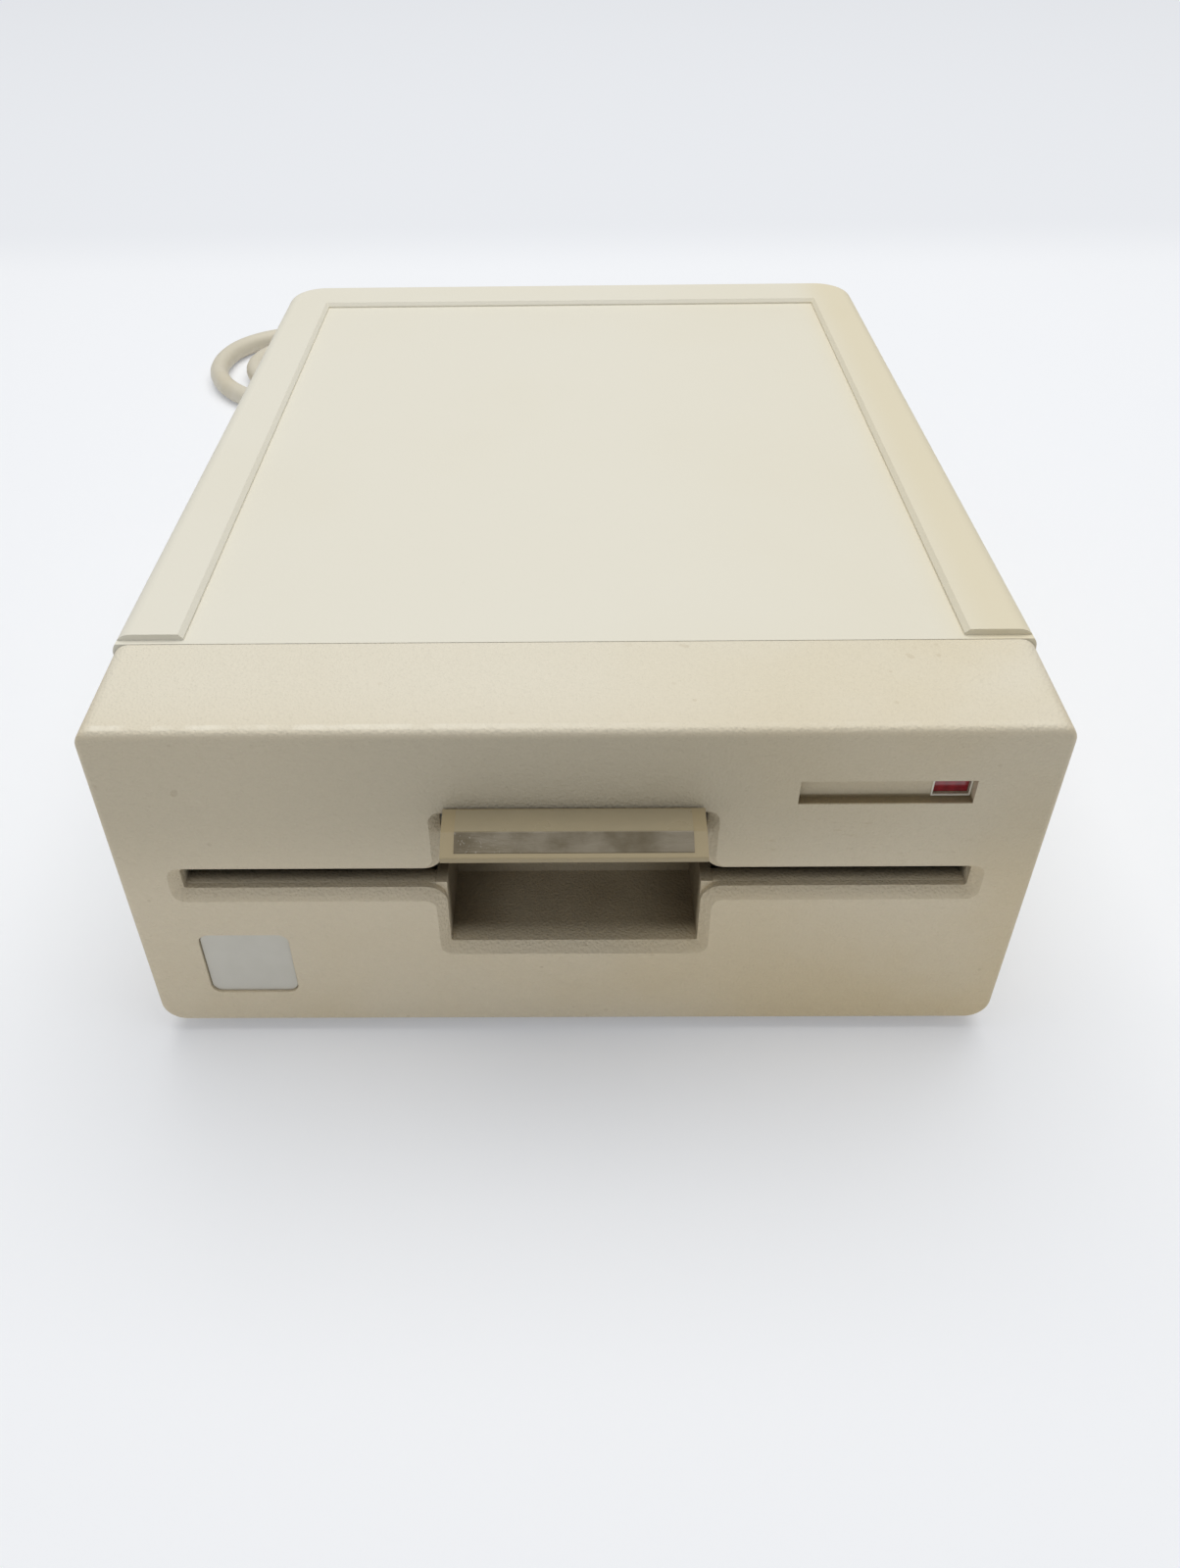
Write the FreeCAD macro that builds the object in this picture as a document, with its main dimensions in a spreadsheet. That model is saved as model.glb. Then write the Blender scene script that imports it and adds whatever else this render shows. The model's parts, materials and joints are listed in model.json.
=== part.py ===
import FreeCAD, Part
import math
import os
import re

import Sketcher
from FreeCAD import Placement, Rotation, Vector

# External diskette drive: a slot-loading 5.25 inch mechanism in a two-tone plastic case.
# Frame: +X right, +Y towards the rear, +Z up. Origin on the table, under the middle of the
# case and its raised lever. Millimetres and degrees.

SIZES = {
    # Case
    "CaseWidth": 160, "CaseHeight": 72.2, "CaseDepth": 209, "FootHeight": 3,
    "Wall": 2.5, "FaceWall": 3, "BezelDepth": 23.7, "BezelFall": 0.9, "SeamGap": 0.2,
    "SplitHeight": 12, "BottomRound": 4.5, "TopRound": 3.2, "FaceRound": 1.2, "RearRound": 10,
    "RimHeight": 1.2, "RimWidth": 12.4, "RimBack": 16, "RimLead": 1.2, "RimBevel": 0.8,
    # Openings in the front face
    "SlotPlay": 5.65, "SlotHeight": 4.6, "SlotMiddle": 37.2, "PathMargin": 0.1, "Funnel": 1.8,
    "LipRound": 3.8, "SlotRound": 0.5, "ChannelWidth": 45.4, "NotchTop": 52.4,
    "WellFloor": 20.9, "WellDepth": 20, "WellWall": 2,
    "WindowLeft": 37.1, "WindowWidth": 28.8, "WindowLow": 55.6, "WindowHeight": 4.9,
    "WindowDepth": 1.9, "LensWidth": 6, "LensEnd": 0.4, "LensSill": 0.6, "LensSetback": 0.5,
    "LensFlange": 1, "LensDepth": 5, "LampRadius": 1.5, "LampLength": 6,
    "BadgeSide": 11, "BadgeLow": 8.5, "BadgeWidth": 16.6, "BadgeHeight": 15.9,
    "BadgeDepth": 1.3, "BadgePlate": 0.8, "BadgeRound": 2,
    # Screws, bosses and feet
    "BossSide": 6.4, "BossLow": 12, "BossHigh": 52, "BossRadius": 3.5,
    "EarThick": 2, "EarHeight": 10, "ScrewRadius": 1.2, "HeadRadius": 2.4, "HeadHeight": 1.6,
    "HeadSink": 2, "BezelScrew": 9,
    "PostRadius": 3.2, "PostSide": 5.5, "PostFront": 31.5, "PostBack": 12, "CaseScrew": 17,
    "WebThick": 1.6, "FootRadius": 7, "FootDraft": 0.8, "FootSide": 16, "FootFront": 42, "FootBack": 24,
    "PegRadius": 2.5, "PegHeight": 3.2,
    "MountSide": 16, "MountFront": 52, "MountBack": 40, "MountRadius": 4, "MountHeight": 8,
    "MountScrew": 8.6,
    # Rear panel
    "PanelSide": 14, "PanelTop": 46, "PanelLip": 3, "LipThick": 1.2,
    "SocketX": 38, "SocketHeight": 24, "ConnectorWidth": 44.8, "ConnectorTall": 12.5,
    "FlangeThick": 1, "ShellWidth": 30.3, "ShellTall": 7.8, "ShellOut": 2.2, "ShellRound": 1.2,
    "ShellFit": 0.2, "ShellWall": 0.5, "DeeSlant": 0.176, "SocketBody": 34, "SocketDeep": 8.4,
    "ContactHole": 0.65, "JackSpan": 38.9, "JackRadius": 2.6, "JackOut": 2.3,
    "CordX": -45, "CordHeight": 14, "CordRadius": 3.6, "BootLength": 24, "BootRoot": 6.6,
    "BootTip": 4.7, "BootFlange": 8.4, "BootNeck": 5.6, "FlangeLength": 2.5,
    # Disk path and chassis
    "DiskSize": 133.35, "DiskInset": 8.3, "ChassisSide": 9, "ChassisWall": 2,
    "ChassisTop": 57, "ChassisFoot": 8, "ChassisEnd": 196, "DeckHeight": 29, "DeckThick": 3,
    "BarFront": 22, "BarWidth": 12, "BarThick": 3, "FootPad": 16, "PadWidth": 11,
    "GuideGrip": 7, "GuideWall": 2.025, "GuideLedge": 2, "GuideGap": 0.3,
    # Lever
    "LeverWidth": 43.5, "LeverReach": 9.5, "LeverTop": 55.3, "LeverGap": 0.4, "RidgeReach": 5.5,
    "RidgeDrop": 0.6, "TipDrop": 2.7, "TipThick": 1.4, "TipBack": 0.2, "ArmAhead": 2, "PlateThick": 1.8, "ArmThick": 2.6,
    "PivotInset": 8, "PivotHeight": 48, "HubRadius": 3.7, "ShaftRadius": 2.5,
    "LabelWidth": 39, "LabelThick": 0.15, "LabelEdge": 0.4,
    "ShaftSpare": 2.45, "CamInner": 28.6, "CamWidth": 4.2, "CamRadius": 4.6,
    "CamOffset": 2.2, "LeverTurn": 78, "LeverPush": 6, "LatchRadius": 4.7, "NotchDeep": 1.2,
    "BracketWide": 27, "SheetThick": 1.6, "EarDepth": 9.5, "EarLow": 43, "BracketFront": 4,
    "LatchEarDepth": 19.5, "LatchInset": 20, "LatchHeight": 50.5, "StudRadius": 1.5,
    "LatchTail": 5, "PawlGap": 0.6, "LatchThick": 3, "BracketScrewX": 18, "BracketScrewLength": 5,
    "SpringRadius": 3.9, "WireRadius": 0.45, "SpringPitch": 1.15, "SpringTurns": 6,
    "SpringSide": 0.85, "SpringLeg": 5,
    # Clamp arm, modelled closed and lifted at rest
    "ArmInset": 26, "ArmHeight": 46, "ArmLift": 10, "ArmSide": 2.2, "ArmBarDepth": 7,
    "ArmBarTall": 6, "ArmBore": 1.5, "ArmPlateHalf": 13, "ArmPlateLow": -5.5, "ArmPlateThick": 2,
    "ArmPlateEnd": 64, "ArmRib": 1.5, "RibTall": 3, "TailGap": 0.35, "TailThick": 2,
    "TailReach": 20.5, "LugThick": 3.2, "LugGap": 0.5, "LugDepth": 8, "LugLow": 42.5,
    "ConeRadius": 14.1, "ConeTip": 12.4, "ConeDepth": 1.6, "RingRadius": 17, "RingThick": 2.2,
    "ConeStub": 3, "ClampGap": 0.3, "RetainerRadius": 5, "RetainerThick": 1.2,
    # Spindle and its motor
    "HubFlange": 17.5, "HubThick": 4, "HubRecess": 15.1, "RecessDeep": 2.1, "RecessDraft": 1, "SpindleRadius": 3,
    "SpindleLow": 9, "BearingRadius": 6.5, "BearingTall": 5, "HousingRadius": 10,
    "HousingLow": 17, "HousingTop": 30, "RotorRadius": 36, "RotorThick": 2, "SleeveRadius": 6, "MagnetInner": 20,
    "MagnetOuter": 33, "MagnetTall": 4.4, "CoilGap": 0.9, "CoilTall": 2.2, "CoilCount": 6,
    "CoilRing": 26.5, "CoilRadius": 6, "CoilHole": 2.4, "StatorRadius": 42, "BoardThick": 1.6,
    "StatorPost": 2.5, "StatorDrop": 5, "PostRing": 38.5,
    # Stepper, screw and head carriage
    "TrackZero": 57.15, "Travel": 18, "BlockGap": 4.125, "StepGap": 5.575, "RodHeight": 27, "RodRadius": 2.5, "RodX": 15.5,
    "RunGap": 0.05, "BlockHalf": 21, "BlockDepth": 4.5, "BlockLow": 22.6,
    "BlockTop": 31.5, "WindowHalf": 23, "StepWallThick": 2.5,
    "StepWallHalf": 24, "StepWallLow": 8, "StepWallTop": 46, "StepperRadius": 17.5,
    "StepperLength": 23, "StepperHollow": 11, "RotorSmall": 9.6, "StepperSkin": 1.5,
    "ScrewShaft": 2.4, "ScrewPin": 1.5, "BushRadius": 3.5, "MotorHole": 5.25, "ScrewEnd": 0.25, "RotorInset": 3, "CarriageFront": 12,
    "CarriageBack": 39.8, "CarriageHalf": 20, "CarriageLow": 23, "CarriageTop": 31.5,
    "ScrewWay": 3.6, "FollowerY": 20, "FollowerHalf": 3, "ButtonRadius": 5,
    "PadReach": 33.85, "PadHeight": 45, "PadLift": 6.5, "PadPost": 5, "PostHalf": 9.5,
    "PostWall": 2.5, "PostTop": 48, "ForkGap": 1.2, "PadHalf": 6.4, "PadPlateLow": -4, "PadPlateThick": 1.6,
    "PadTail": 3, "PadFront": 6, "PadHubRadius": 2.8, "PinRadius": 1.25, "FeltRadius": 3.4,
    "FeltTall": 1.2, "HolderRadius": 4, "PadFloor": 36.5,
    # Electronics
    "SensorY": 66, "SensorDepth": 12, "SensorHalf": 10, "SensorTall": 5,
    "BoardHeight": 60, "BoardEdge": 5, "BoardFront": 42, "BoardBack": 17, "StandRadius": 3,
    "TabThick": 2, "TabSide": 4, "TabFront": 50, "TabBack": 25, "TabDepth": 10,
    "ChipWidth": 7.6, "ChipTall": 3.8, "ChipLong": 19.5, "ChipLift": 0.4, "ChipPitchX": 24,
    "ChipPitchY": 28, "ChipColumns": 4, "ChipRows": 3, "ChipFirstY": 62,
    "CanRadius": 3, "CanTall": 7, "CanPitch": 9, "CanCount": 5, "HeaderWidth": 26,
    "HeaderDepth": 8, "HeaderTall": 6.5, "HeaderY": 178, "BoardScrew": 5.6,
    # Plug at the free end of the cord
    "PlugX": 61, "PlugY": 373, "PlugTurn": 90, "HoodWidth": 46, "HoodLong": 36, "HoodTall": 14, "HoodRound": 3,
    "PlugShellOut": 5.8, "PinCount": 10, "PinPitch": 2.77, "PinThick": 0.5,
    "PinRise": 1.4, "KnobRadius": 3, "KnobLong": 8, "ThreadRadius": 1.4,
    "ThreadOut": 5, "ThreadGap": 0.4, "NeckRadius": 1.15, "BayWidth": 7.2, "BayLong": 13,
    # Coil of cord on the table behind the case, measured from the front face
    "CoilX": -96, "CoilY": 337, "CoilCentre": 46.9, "TurnPitch": 8, "LoopTall": 15,
    "StubLong": 27,
}

# Places worked out from the sizes above
PLACES = {
    "FaceY": "(LeverReach - CaseDepth) / 2",
    "RearY": "FaceY + CaseDepth",
    "SeamY": "FaceY + BezelDepth",
    "CoverY": "SeamY + SeamGap",
    "BaseZ": "FootHeight",
    "TopZ": "BaseZ + CaseHeight",
    "HalfWidth": "CaseWidth / 2",
    "InnerHalf": "HalfWidth - Wall",
    "InnerTopZ": "TopZ - Wall",
    "SplitZ": "BaseZ + SplitHeight",
    "SlotWidth": "DiskSize + SlotPlay",
    "SlotLowZ": "BaseZ + SlotMiddle - SlotHeight / 2",
    "SlotHighZ": "BaseZ + SlotMiddle + SlotHeight / 2",
    "PathLowZ": "SlotLowZ + PathMargin",
    "PathHighZ": "SlotHighZ - PathMargin",
    "PathEndY": "FaceY + DiskInset + DiskSize",
    "NotchZ": "BaseZ + NotchTop",
    "WellZ": "BaseZ + WellFloor",
    "WindowZ": "BaseZ + WindowLow",
    "LensX": "WindowLeft + WindowWidth - LensEnd - LensWidth",
    "LensZ": "WindowZ + LensSill",
    "LensTall": "WindowHeight - LensSill",
    "BadgeX": "BadgeSide - HalfWidth",
    "BadgeZ": "BaseZ + BadgeLow",
    "BossX": "HalfWidth - BossSide",
    "PostX": "HalfWidth - PostSide",
    "PostFrontY": "FaceY + PostFront",
    "PostBackY": "RearY - PostBack",
    "MountX": "HalfWidth - MountSide",
    "MountFrontY": "FaceY + MountFront",
    "MountBackY": "RearY - MountBack",
    "ChassisHalf": "HalfWidth - ChassisSide",
    "InnerWallX": "ChassisHalf - ChassisWall",
    "DeckZ": "BaseZ + DeckHeight",
    "BarY": "FaceY + BarFront",
    "BarZ": "BaseZ + ChassisTop",
    "BarTopZ": "BarZ + BarThick",
    "ChassisEndY": "FaceY + ChassisEnd",
    "SpindleY": "FaceY + DiskInset + DiskSize / 2",
    "HubTopZ": "SlotLowZ",
    "HeadY": "SpindleY + TrackZero",
    "RodZ": "BaseZ + RodHeight",
    "StepY": "HeadY + CarriageBack + StepGap",
    "MotorY": "StepY + StepWallThick",
    "BlockY": "HeadY - CarriageFront - Travel - BlockGap - BlockDepth",
    "PadY": "HeadY + PadReach",
    "PadZ": "BaseZ + PadHeight",
    "PivotY": "FaceY + PivotInset",
    "PivotZ": "BaseZ + PivotHeight",
    "ArmY": "FaceY + ArmInset",
    "ArmZ": "BaseZ + ArmHeight",
    "ArmReach": "SpindleY - ArmY",
    "ArmBarHalf": "CamInner + CamWidth + ArmSide",
    "ShaftLeft": "CamInner + CamWidth + ArmSide",
    "ShaftRight": "SpringStart + SpringTurns * SpringPitch + ShaftSpare",
    "SpringStart": "CamInner + CamWidth + SpringSide",
    "LatchY": "FaceY + LatchInset",
    "LatchZ": "BaseZ + LatchHeight",
    "StatorZ": "DeckZ - DeckThick - StatorDrop - BoardThick",
    "MagnetTopZ": "StatorZ - CoilTall - CoilGap",
    "BoardZ": "BaseZ + BoardHeight",
    "BoardHalf": "InnerWallX - BoardEdge",
    "PanelWidth": "CaseWidth - 2 * PanelSide",
    "CordZ": "BaseZ + CordHeight",
    "SocketZ": "BaseZ + SocketHeight",
    "PlugFace": "-HoodLong / 2",
    "PlugMiddleY": "FaceY + PlugY",
    "PlugZ": "HoodTall / 2",
}

DOC = FreeCAD.newDocument("DisketteDrive")
SHEET = DOC.addObject("Spreadsheet::Sheet", "Sizes")
NODES = []
SIDES = ("-1", "1")
COIL_STEPS = 96
AXES = {"x": Rotation(Vector(0, 1, 0), 90), "y": Rotation(Vector(1, 0, 0), -90), "z": Rotation()}
UNIT = {"x": Vector(1, 0, 0), "y": Vector(0, 1, 0), "z": Vector(0, 0, 1)}


def fill_sheet():
    """One row for each driving size: its name and its plain number."""
    for row, (alias, number) in enumerate(SIZES.items(), start=1):
        SHEET.set(f"A{row}", alias)
        SHEET.set(f"B{row}", str(number))
        SHEET.setAlias(f"B{row}", alias)
    DOC.recompute()


def tied(formula):
    """Formula text in which each size points at its cell and each place is written out."""
    def swap(match):
        word = match.group()
        if word in PLACES:
            return f"({tied(PLACES[word])})"
        return f"Sizes.{word}" if word in SIZES else word
    return re.sub(r"[A-Za-z_]\w*", swap, str(formula))


def size(formula):
    """Number that a formula gives now."""
    return float(SHEET.evalExpression(tied(formula)))


def bind(thing, **rules):
    for name, rule in rules.items():
        thing.setExpression(name, tied(rule))
    return thing


def put(thing, x="0", y="0", z="0"):
    """Tie the place of an object's own origin."""
    thing.setExpression("Placement.Base.x", tied(x))
    thing.setExpression("Placement.Base.y", tied(y))
    thing.setExpression("Placement.Base.z", tied(z))
    return thing


def lift(thing, y, z, angle):
    """Turn a piece about the X axis by a tied angle and put it on its pivot."""
    thing.Placement = Placement(Vector(), Rotation(UNIT["x"], 1))
    thing.setExpression("Placement.Rotation.Angle", tied(angle))
    return put(thing, "0", y, z)


def node(thing, label):
    """Register a finished piece under its own label."""
    thing.Label = label
    NODES.append(thing)
    return thing


def block(name, x, y, z):
    """Box between pairs of limits."""
    box = DOC.addObject("Part::Box", name)
    bind(box, Length=f"{x[1]} - ({x[0]})", Width=f"{y[1]} - ({y[0]})", Height=f"{z[1]} - ({z[0]})")
    return put(box, x[0], y[0], z[0])


def rod(name, axis, radius, start, length):
    """Cylinder from a start point along an axis."""
    pin = DOC.addObject("Part::Cylinder", name)
    pin.Placement = Placement(Vector(), AXES[axis])
    bind(pin, Radius=radius, Height=length)
    return put(pin, *start)


def taper(name, axis, radii, start, length):
    """Cone from a start point along an axis."""
    cone = DOC.addObject("Part::Cone", name)
    cone.Placement = Placement(Vector(), AXES[axis])
    bind(cone, Radius1=radii[0], Radius2=radii[1], Height=length)
    return put(cone, *start)


def join(name, *pieces):
    """Fuse pieces into one solid."""
    fused = DOC.addObject("Part::MultiFuse", name)
    fused.Shapes = list(pieces)
    fused.Refine = True
    return fused


def group(name, *pieces):
    """Separate solids kept together."""
    kept = DOC.addObject("Part::Compound", name)
    kept.Links = list(pieces)
    return kept


def cut(name, base, *tools):
    """Base without its tools."""
    left = DOC.addObject("Part::Cut", name)
    left.Base = base
    left.Tool = tools[0] if len(tools) == 1 else group(name + "_tools", *tools)
    left.Refine = True
    return left


def span(side, low, high):
    """Limits of a feature on one side of the middle."""
    pair = (f"({side}) * ({low})", f"({side}) * ({high})")
    return pair if side == "1" else pair[::-1]


# Sketches and features of the bodies

def new_body(label):
    return DOC.addObject("PartDesign::Body", label)


def tie_vertex(sketch, index, x, y):
    """Fix a line's start, or a circle's centre, at tied distances from the sketch's origin."""
    part = 3 if sketch.Geometry[index].TypeId == "Part::GeomCircle" else 1
    for kind, rule in (("DistanceX", x), ("DistanceY", y)):
        made = sketch.addConstraint(Sketcher.Constraint(kind, -1, 1, index, part, size(rule)))
        sketch.setExpression(f"Constraints[{made}]", tied(rule))


def outline(sketch, corners):
    """Closed outline through tied corners."""
    first = len(sketch.Geometry)
    spots = [Vector(size(x), size(y), 0) for x, y in corners]
    count = len(spots)
    for index in range(count):
        sketch.addGeometry(Part.LineSegment(spots[index], spots[(index + 1) % count]))
    for index in range(count):
        after = first + (index + 1) % count
        sketch.addConstraint(Sketcher.Constraint("Coincident", first + index, 2, after, 1))
    for index, (x, y) in enumerate(corners):
        tie_vertex(sketch, first + index, x, y)


def ring(sketch, x, y, radius):
    """Circle with a tied centre and radius."""
    circle = Part.Circle(Vector(size(x), size(y), 0), Vector(0, 0, 1), size(radius))
    index = sketch.addGeometry(circle)
    tie_vertex(sketch, index, x, y)
    made = sketch.addConstraint(Sketcher.Constraint("Radius", index, size(radius)))
    sketch.setExpression(f"Constraints[{made}]", tied(radius))


def oblong(x, y):
    """Corners of an upright rectangle between pairs of limits."""
    return [(x[0], y[0]), (x[1], y[0]), (x[1], y[1]), (x[0], y[1])]


def drawn(owner, plane, level, outlines=(), rings=()):
    """Sketch on one of the body's own planes, at a tied level along that plane's axis."""
    sketch = owner.newObject("Sketcher::SketchObject", "Sketch")
    roles = {item.Role: item for item in owner.Origin.OriginFeatures}
    sketch.AttachmentSupport = (roles[plane + "_Plane"], [""])
    sketch.MapMode = "FlatFace"
    sign = "-" if plane == "XZ" else ""
    sketch.setExpression("AttachmentOffset.Base.z", tied(f"{sign}({level})"))
    for corners in outlines:
        outline(sketch, corners)
    for x, y, radius in rings:
        ring(sketch, x, y, radius)
    return sketch


def swept(owner, kind, sketch, length):
    """Pad or pocket of a sketch towards the positive side of its plane's axis."""
    feature = owner.newObject("PartDesign::" + kind, kind)
    feature.Profile = sketch
    bind(feature, Length=length)
    backwards = sketch.AttachmentSupport[0][0].Role == "XZ_Plane"
    feature.Reversed = backwards if kind == "Pad" else not backwards
    DOC.recompute()
    return feature


def pad(owner, sketch, length):
    return swept(owner, "Pad", sketch, length)


def pocket(owner, sketch, length):
    return swept(owner, "Pocket", sketch, length)


def dressed(owner, kind, amount, test):
    """Fillet or chamfer of the tip's edges that pass a test of their bounds."""
    tip = owner.Tip
    names = [f"Edge{number}" for number, edge in enumerate(tip.Shape.Edges, start=1)
             if test(edge.BoundBox, edge)]
    feature = owner.newObject("PartDesign::" + kind, kind)
    feature.Base = (tip, names)
    bind(feature, **{"Radius" if kind == "Fillet" else "Size": amount})
    DOC.recompute()
    return feature


def near(value, formula):
    return abs(value - size(formula)) < 0.01


def along(bound, axis):
    """Whether an edge's bounds are a line along one axis."""
    spans = {"x": bound.XLength, "y": bound.YLength, "z": bound.ZLength}
    return spans.pop(axis) > 0.01 and max(spans.values()) < 0.001


# Case

def front_bezel():
    """Front moulding: face, slot with its funnel, lever notch, finger well, window and pocket."""
    bezel = new_body("front_bezel")
    side = [("FaceY", "BaseZ"), ("SeamY", "BaseZ"), ("SeamY", "TopZ"), ("FaceY", "TopZ - BezelFall")]
    pad(bezel, drawn(bezel, "YZ", "-HalfWidth", [side]), "CaseWidth")
    dressed(bezel, "Fillet", "BottomRound",
            lambda b, e: along(b, "y") and near(b.ZMin, "BaseZ"))
    dressed(bezel, "Fillet", "TopRound",
            lambda b, e: b.YLength > 1 and b.ZMin > size("TopZ - BezelFall") - 0.01
            and b.XLength < 0.001)
    dressed(bezel, "Fillet", "FaceRound", lambda b, e: near(b.YMax, "FaceY"))
    hollow = oblong(("-InnerHalf", "InnerHalf"), ("BaseZ + Wall", "InnerTopZ - BezelFall"))
    pocket(bezel, drawn(bezel, "XZ", "FaceY + FaceWall", [hollow]), "BezelDepth - FaceWall")
    cut_front_openings(bezel)
    add_finger_well(bezel)
    add_bezel_bosses(bezel)
    cut_window_and_badge(bezel)
    return node(bezel, "front_bezel")


def cut_front_openings(bezel):
    """Cross-shaped opening of slot, notch and well, its corners rounded and its rim funnelled."""
    half, wide = "ChannelWidth / 2", "SlotWidth / 2"
    cross = [(f"-({half})", "WellZ"), (half, "WellZ"), (half, "SlotLowZ"), (wide, "SlotLowZ"),
             (wide, "SlotHighZ"), (half, "SlotHighZ"), (half, "NotchZ"), (f"-({half})", "NotchZ"),
             (f"-({half})", "SlotHighZ"), (f"-({wide})", "SlotHighZ"), (f"-({wide})", "SlotLowZ"),
             (f"-({half})", "SlotLowZ")]
    pocket(bezel, drawn(bezel, "XZ", "FaceY", [cross]), "FaceWall")
    lips = {(size(half), size("SlotLowZ")), (size(half), size("SlotHighZ"))}
    dressed(bezel, "Fillet", "LipRound",
            lambda b, e: along(b, "y") and is_corner(b, lips))
    ends = {(size(half), size("WellZ")), (size(half), size("NotchZ")),
            (size(wide), size("SlotLowZ")), (size(wide), size("SlotHighZ"))}
    dressed(bezel, "Fillet", "SlotRound",
            lambda b, e: along(b, "y") and is_corner(b, ends))
    limit = size("HalfWidth - FaceRound") - 0.01
    low = size("BaseZ + BottomRound")
    dressed(bezel, "Chamfer", "Funnel",
            lambda b, e: near(b.YMax, "FaceY") and near(b.YMin, "FaceY")
            and b.XMax < limit and b.XMin > -limit and low < b.ZMin and b.ZMax < size("NotchZ") + 1)


def is_corner(bound, corners):
    """Whether an edge stands at one of the corners, on either side of the middle."""
    return any(abs(abs(bound.XMin) - x) < 0.01 and abs(bound.ZMin - z) < 0.01 for x, z in corners)


def add_finger_well(bezel):
    """Box behind the face that a fingertip reaches into, open above to the disk path."""
    half, outer = "ChannelWidth / 2", "ChannelWidth / 2 + WellWall"
    shell = oblong((f"-({outer})", outer), ("WellZ - WellWall", "SlotLowZ"))
    pad(bezel, drawn(bezel, "XZ", "FaceY + FaceWall", [shell]), "WellDepth + WellWall - FaceWall")
    room = oblong((f"-({half})", half), ("WellZ", "SlotLowZ"))
    pocket(bezel, drawn(bezel, "XZ", "FaceY + FaceWall", [room]), "WellDepth - FaceWall")


def add_bezel_bosses(bezel):
    """Four screw bosses from the back of the face to the seam."""
    spots = [(f"{sign} * BossX", level) for sign in SIDES
             for level in ("BaseZ + BossLow", "BaseZ + BossHigh")]
    bosses = [(x, z, "BossRadius") for x, z in spots]
    pad(bezel, drawn(bezel, "XZ", "FaceY + FaceWall", rings=bosses), "BezelDepth - FaceWall")
    pilots = [(x, z, "ScrewRadius") for x, z in spots]
    pocket(bezel, drawn(bezel, "XZ", "SeamY - BezelScrew", rings=pilots), "BezelScrew")


def cut_window_and_badge(bezel):
    """Lamp window with its lens hole, and the shallow pocket of the badge."""
    window = oblong(("WindowLeft", "WindowLeft + WindowWidth"), ("WindowZ", "WindowZ + WindowHeight"))
    pocket(bezel, drawn(bezel, "XZ", "FaceY", [window]), "WindowDepth")
    hole = oblong(("LensX", "LensX + LensWidth"), ("LensZ", "LensZ + LensTall"))
    pocket(bezel, drawn(bezel, "XZ", "FaceY + WindowDepth", [hole]), "FaceWall - WindowDepth")
    seat = oblong(("BadgeX", "BadgeX + BadgeWidth"), ("BadgeZ", "BadgeZ + BadgeHeight"))
    pocket(bezel, drawn(bezel, "XZ", "FaceY", [seat]), "BadgeDepth")
    dressed(bezel, "Fillet", "BadgeRound",
            lambda b, e: along(b, "y") and near(b.YLength, "BadgeDepth")
            and b.XMax < size("BadgeX + BadgeWidth") + 0.1)


def badge_plate():
    plate = new_body("badge_plate")
    gap = "SeamGap"
    seat = oblong((f"BadgeX + {gap}", f"BadgeX + BadgeWidth - {gap}"),
                  (f"BadgeZ + {gap}", f"BadgeZ + BadgeHeight - {gap}"))
    pad(plate, drawn(plate, "XZ", "FaceY + BadgeDepth - BadgePlate", [seat]), "BadgePlate")
    dressed(plate, "Fillet", "BadgeRound - SeamGap", lambda b, e: along(b, "y"))
    return node(plate, "badge_plate")


def case_room():
    """Plan of the space inside the case, its rear corners cut to follow the rounded outside."""
    corner, back = "(RearRound - Wall) / 2", "RearY - Wall"
    return [("-InnerHalf", "CoverY"), ("InnerHalf", "CoverY"), ("InnerHalf", f"{back} - {corner}"),
            (f"InnerHalf - {corner}", back), (f"{corner} - InnerHalf", back),
            ("-InnerHalf", f"{back} - {corner}")]


def top_cover():
    """Cover with a raised rim round three sides of its top panel."""
    cover = new_body("top_cover")
    high = "TopZ + RimHeight"
    plan = oblong(("-HalfWidth", "HalfWidth"), ("CoverY", "RearY"))
    pad(cover, drawn(cover, "XY", "SplitZ", [plan]), f"{high} - SplitZ")
    dressed(cover, "Fillet", "RearRound",
            lambda b, e: along(b, "z") and near(b.YMin, "RearY"))
    dressed(cover, "Fillet", "TopRound",
            lambda b, e: near(b.ZMin, high) and b.YMax > size("CoverY") + 1)
    pocket(cover, drawn(cover, "XY", "SplitZ", [case_room()]), "InnerTopZ - SplitZ")
    sink_top_panel(cover)
    back = oblong(("-PanelWidth / 2", "PanelWidth / 2"), ("SplitZ", "BaseZ + PanelTop"))
    pocket(cover, drawn(cover, "XZ", "RearY - Wall", [back]), "Wall")
    add_cover_posts(cover)
    return node(cover, "top_cover")


def sink_top_panel(cover):
    """Lower the middle panel and the strip ahead of the rim to the bezel's height."""
    half, back = "HalfWidth - RimWidth", "RearY - RimBack"
    panel = oblong((f"-({half})", half), ("CoverY", back))
    pocket(cover, drawn(cover, "XY", "TopZ", [panel]), "RimHeight")
    dressed(cover, "Chamfer", "RimBevel",
            lambda b, e: near(b.ZMin, "TopZ + RimHeight")
            and b.XMax < size(half) + 0.01 and b.XMin > -size(half) - 0.01
            and b.YMax < size(back) + 0.01 and b.YMax > size("CoverY") + 0.01)
    lead = oblong(("-HalfWidth", "HalfWidth"), ("CoverY", "CoverY + RimLead"))
    pocket(cover, drawn(cover, "XY", "TopZ", [lead]), "RimHeight")


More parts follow.
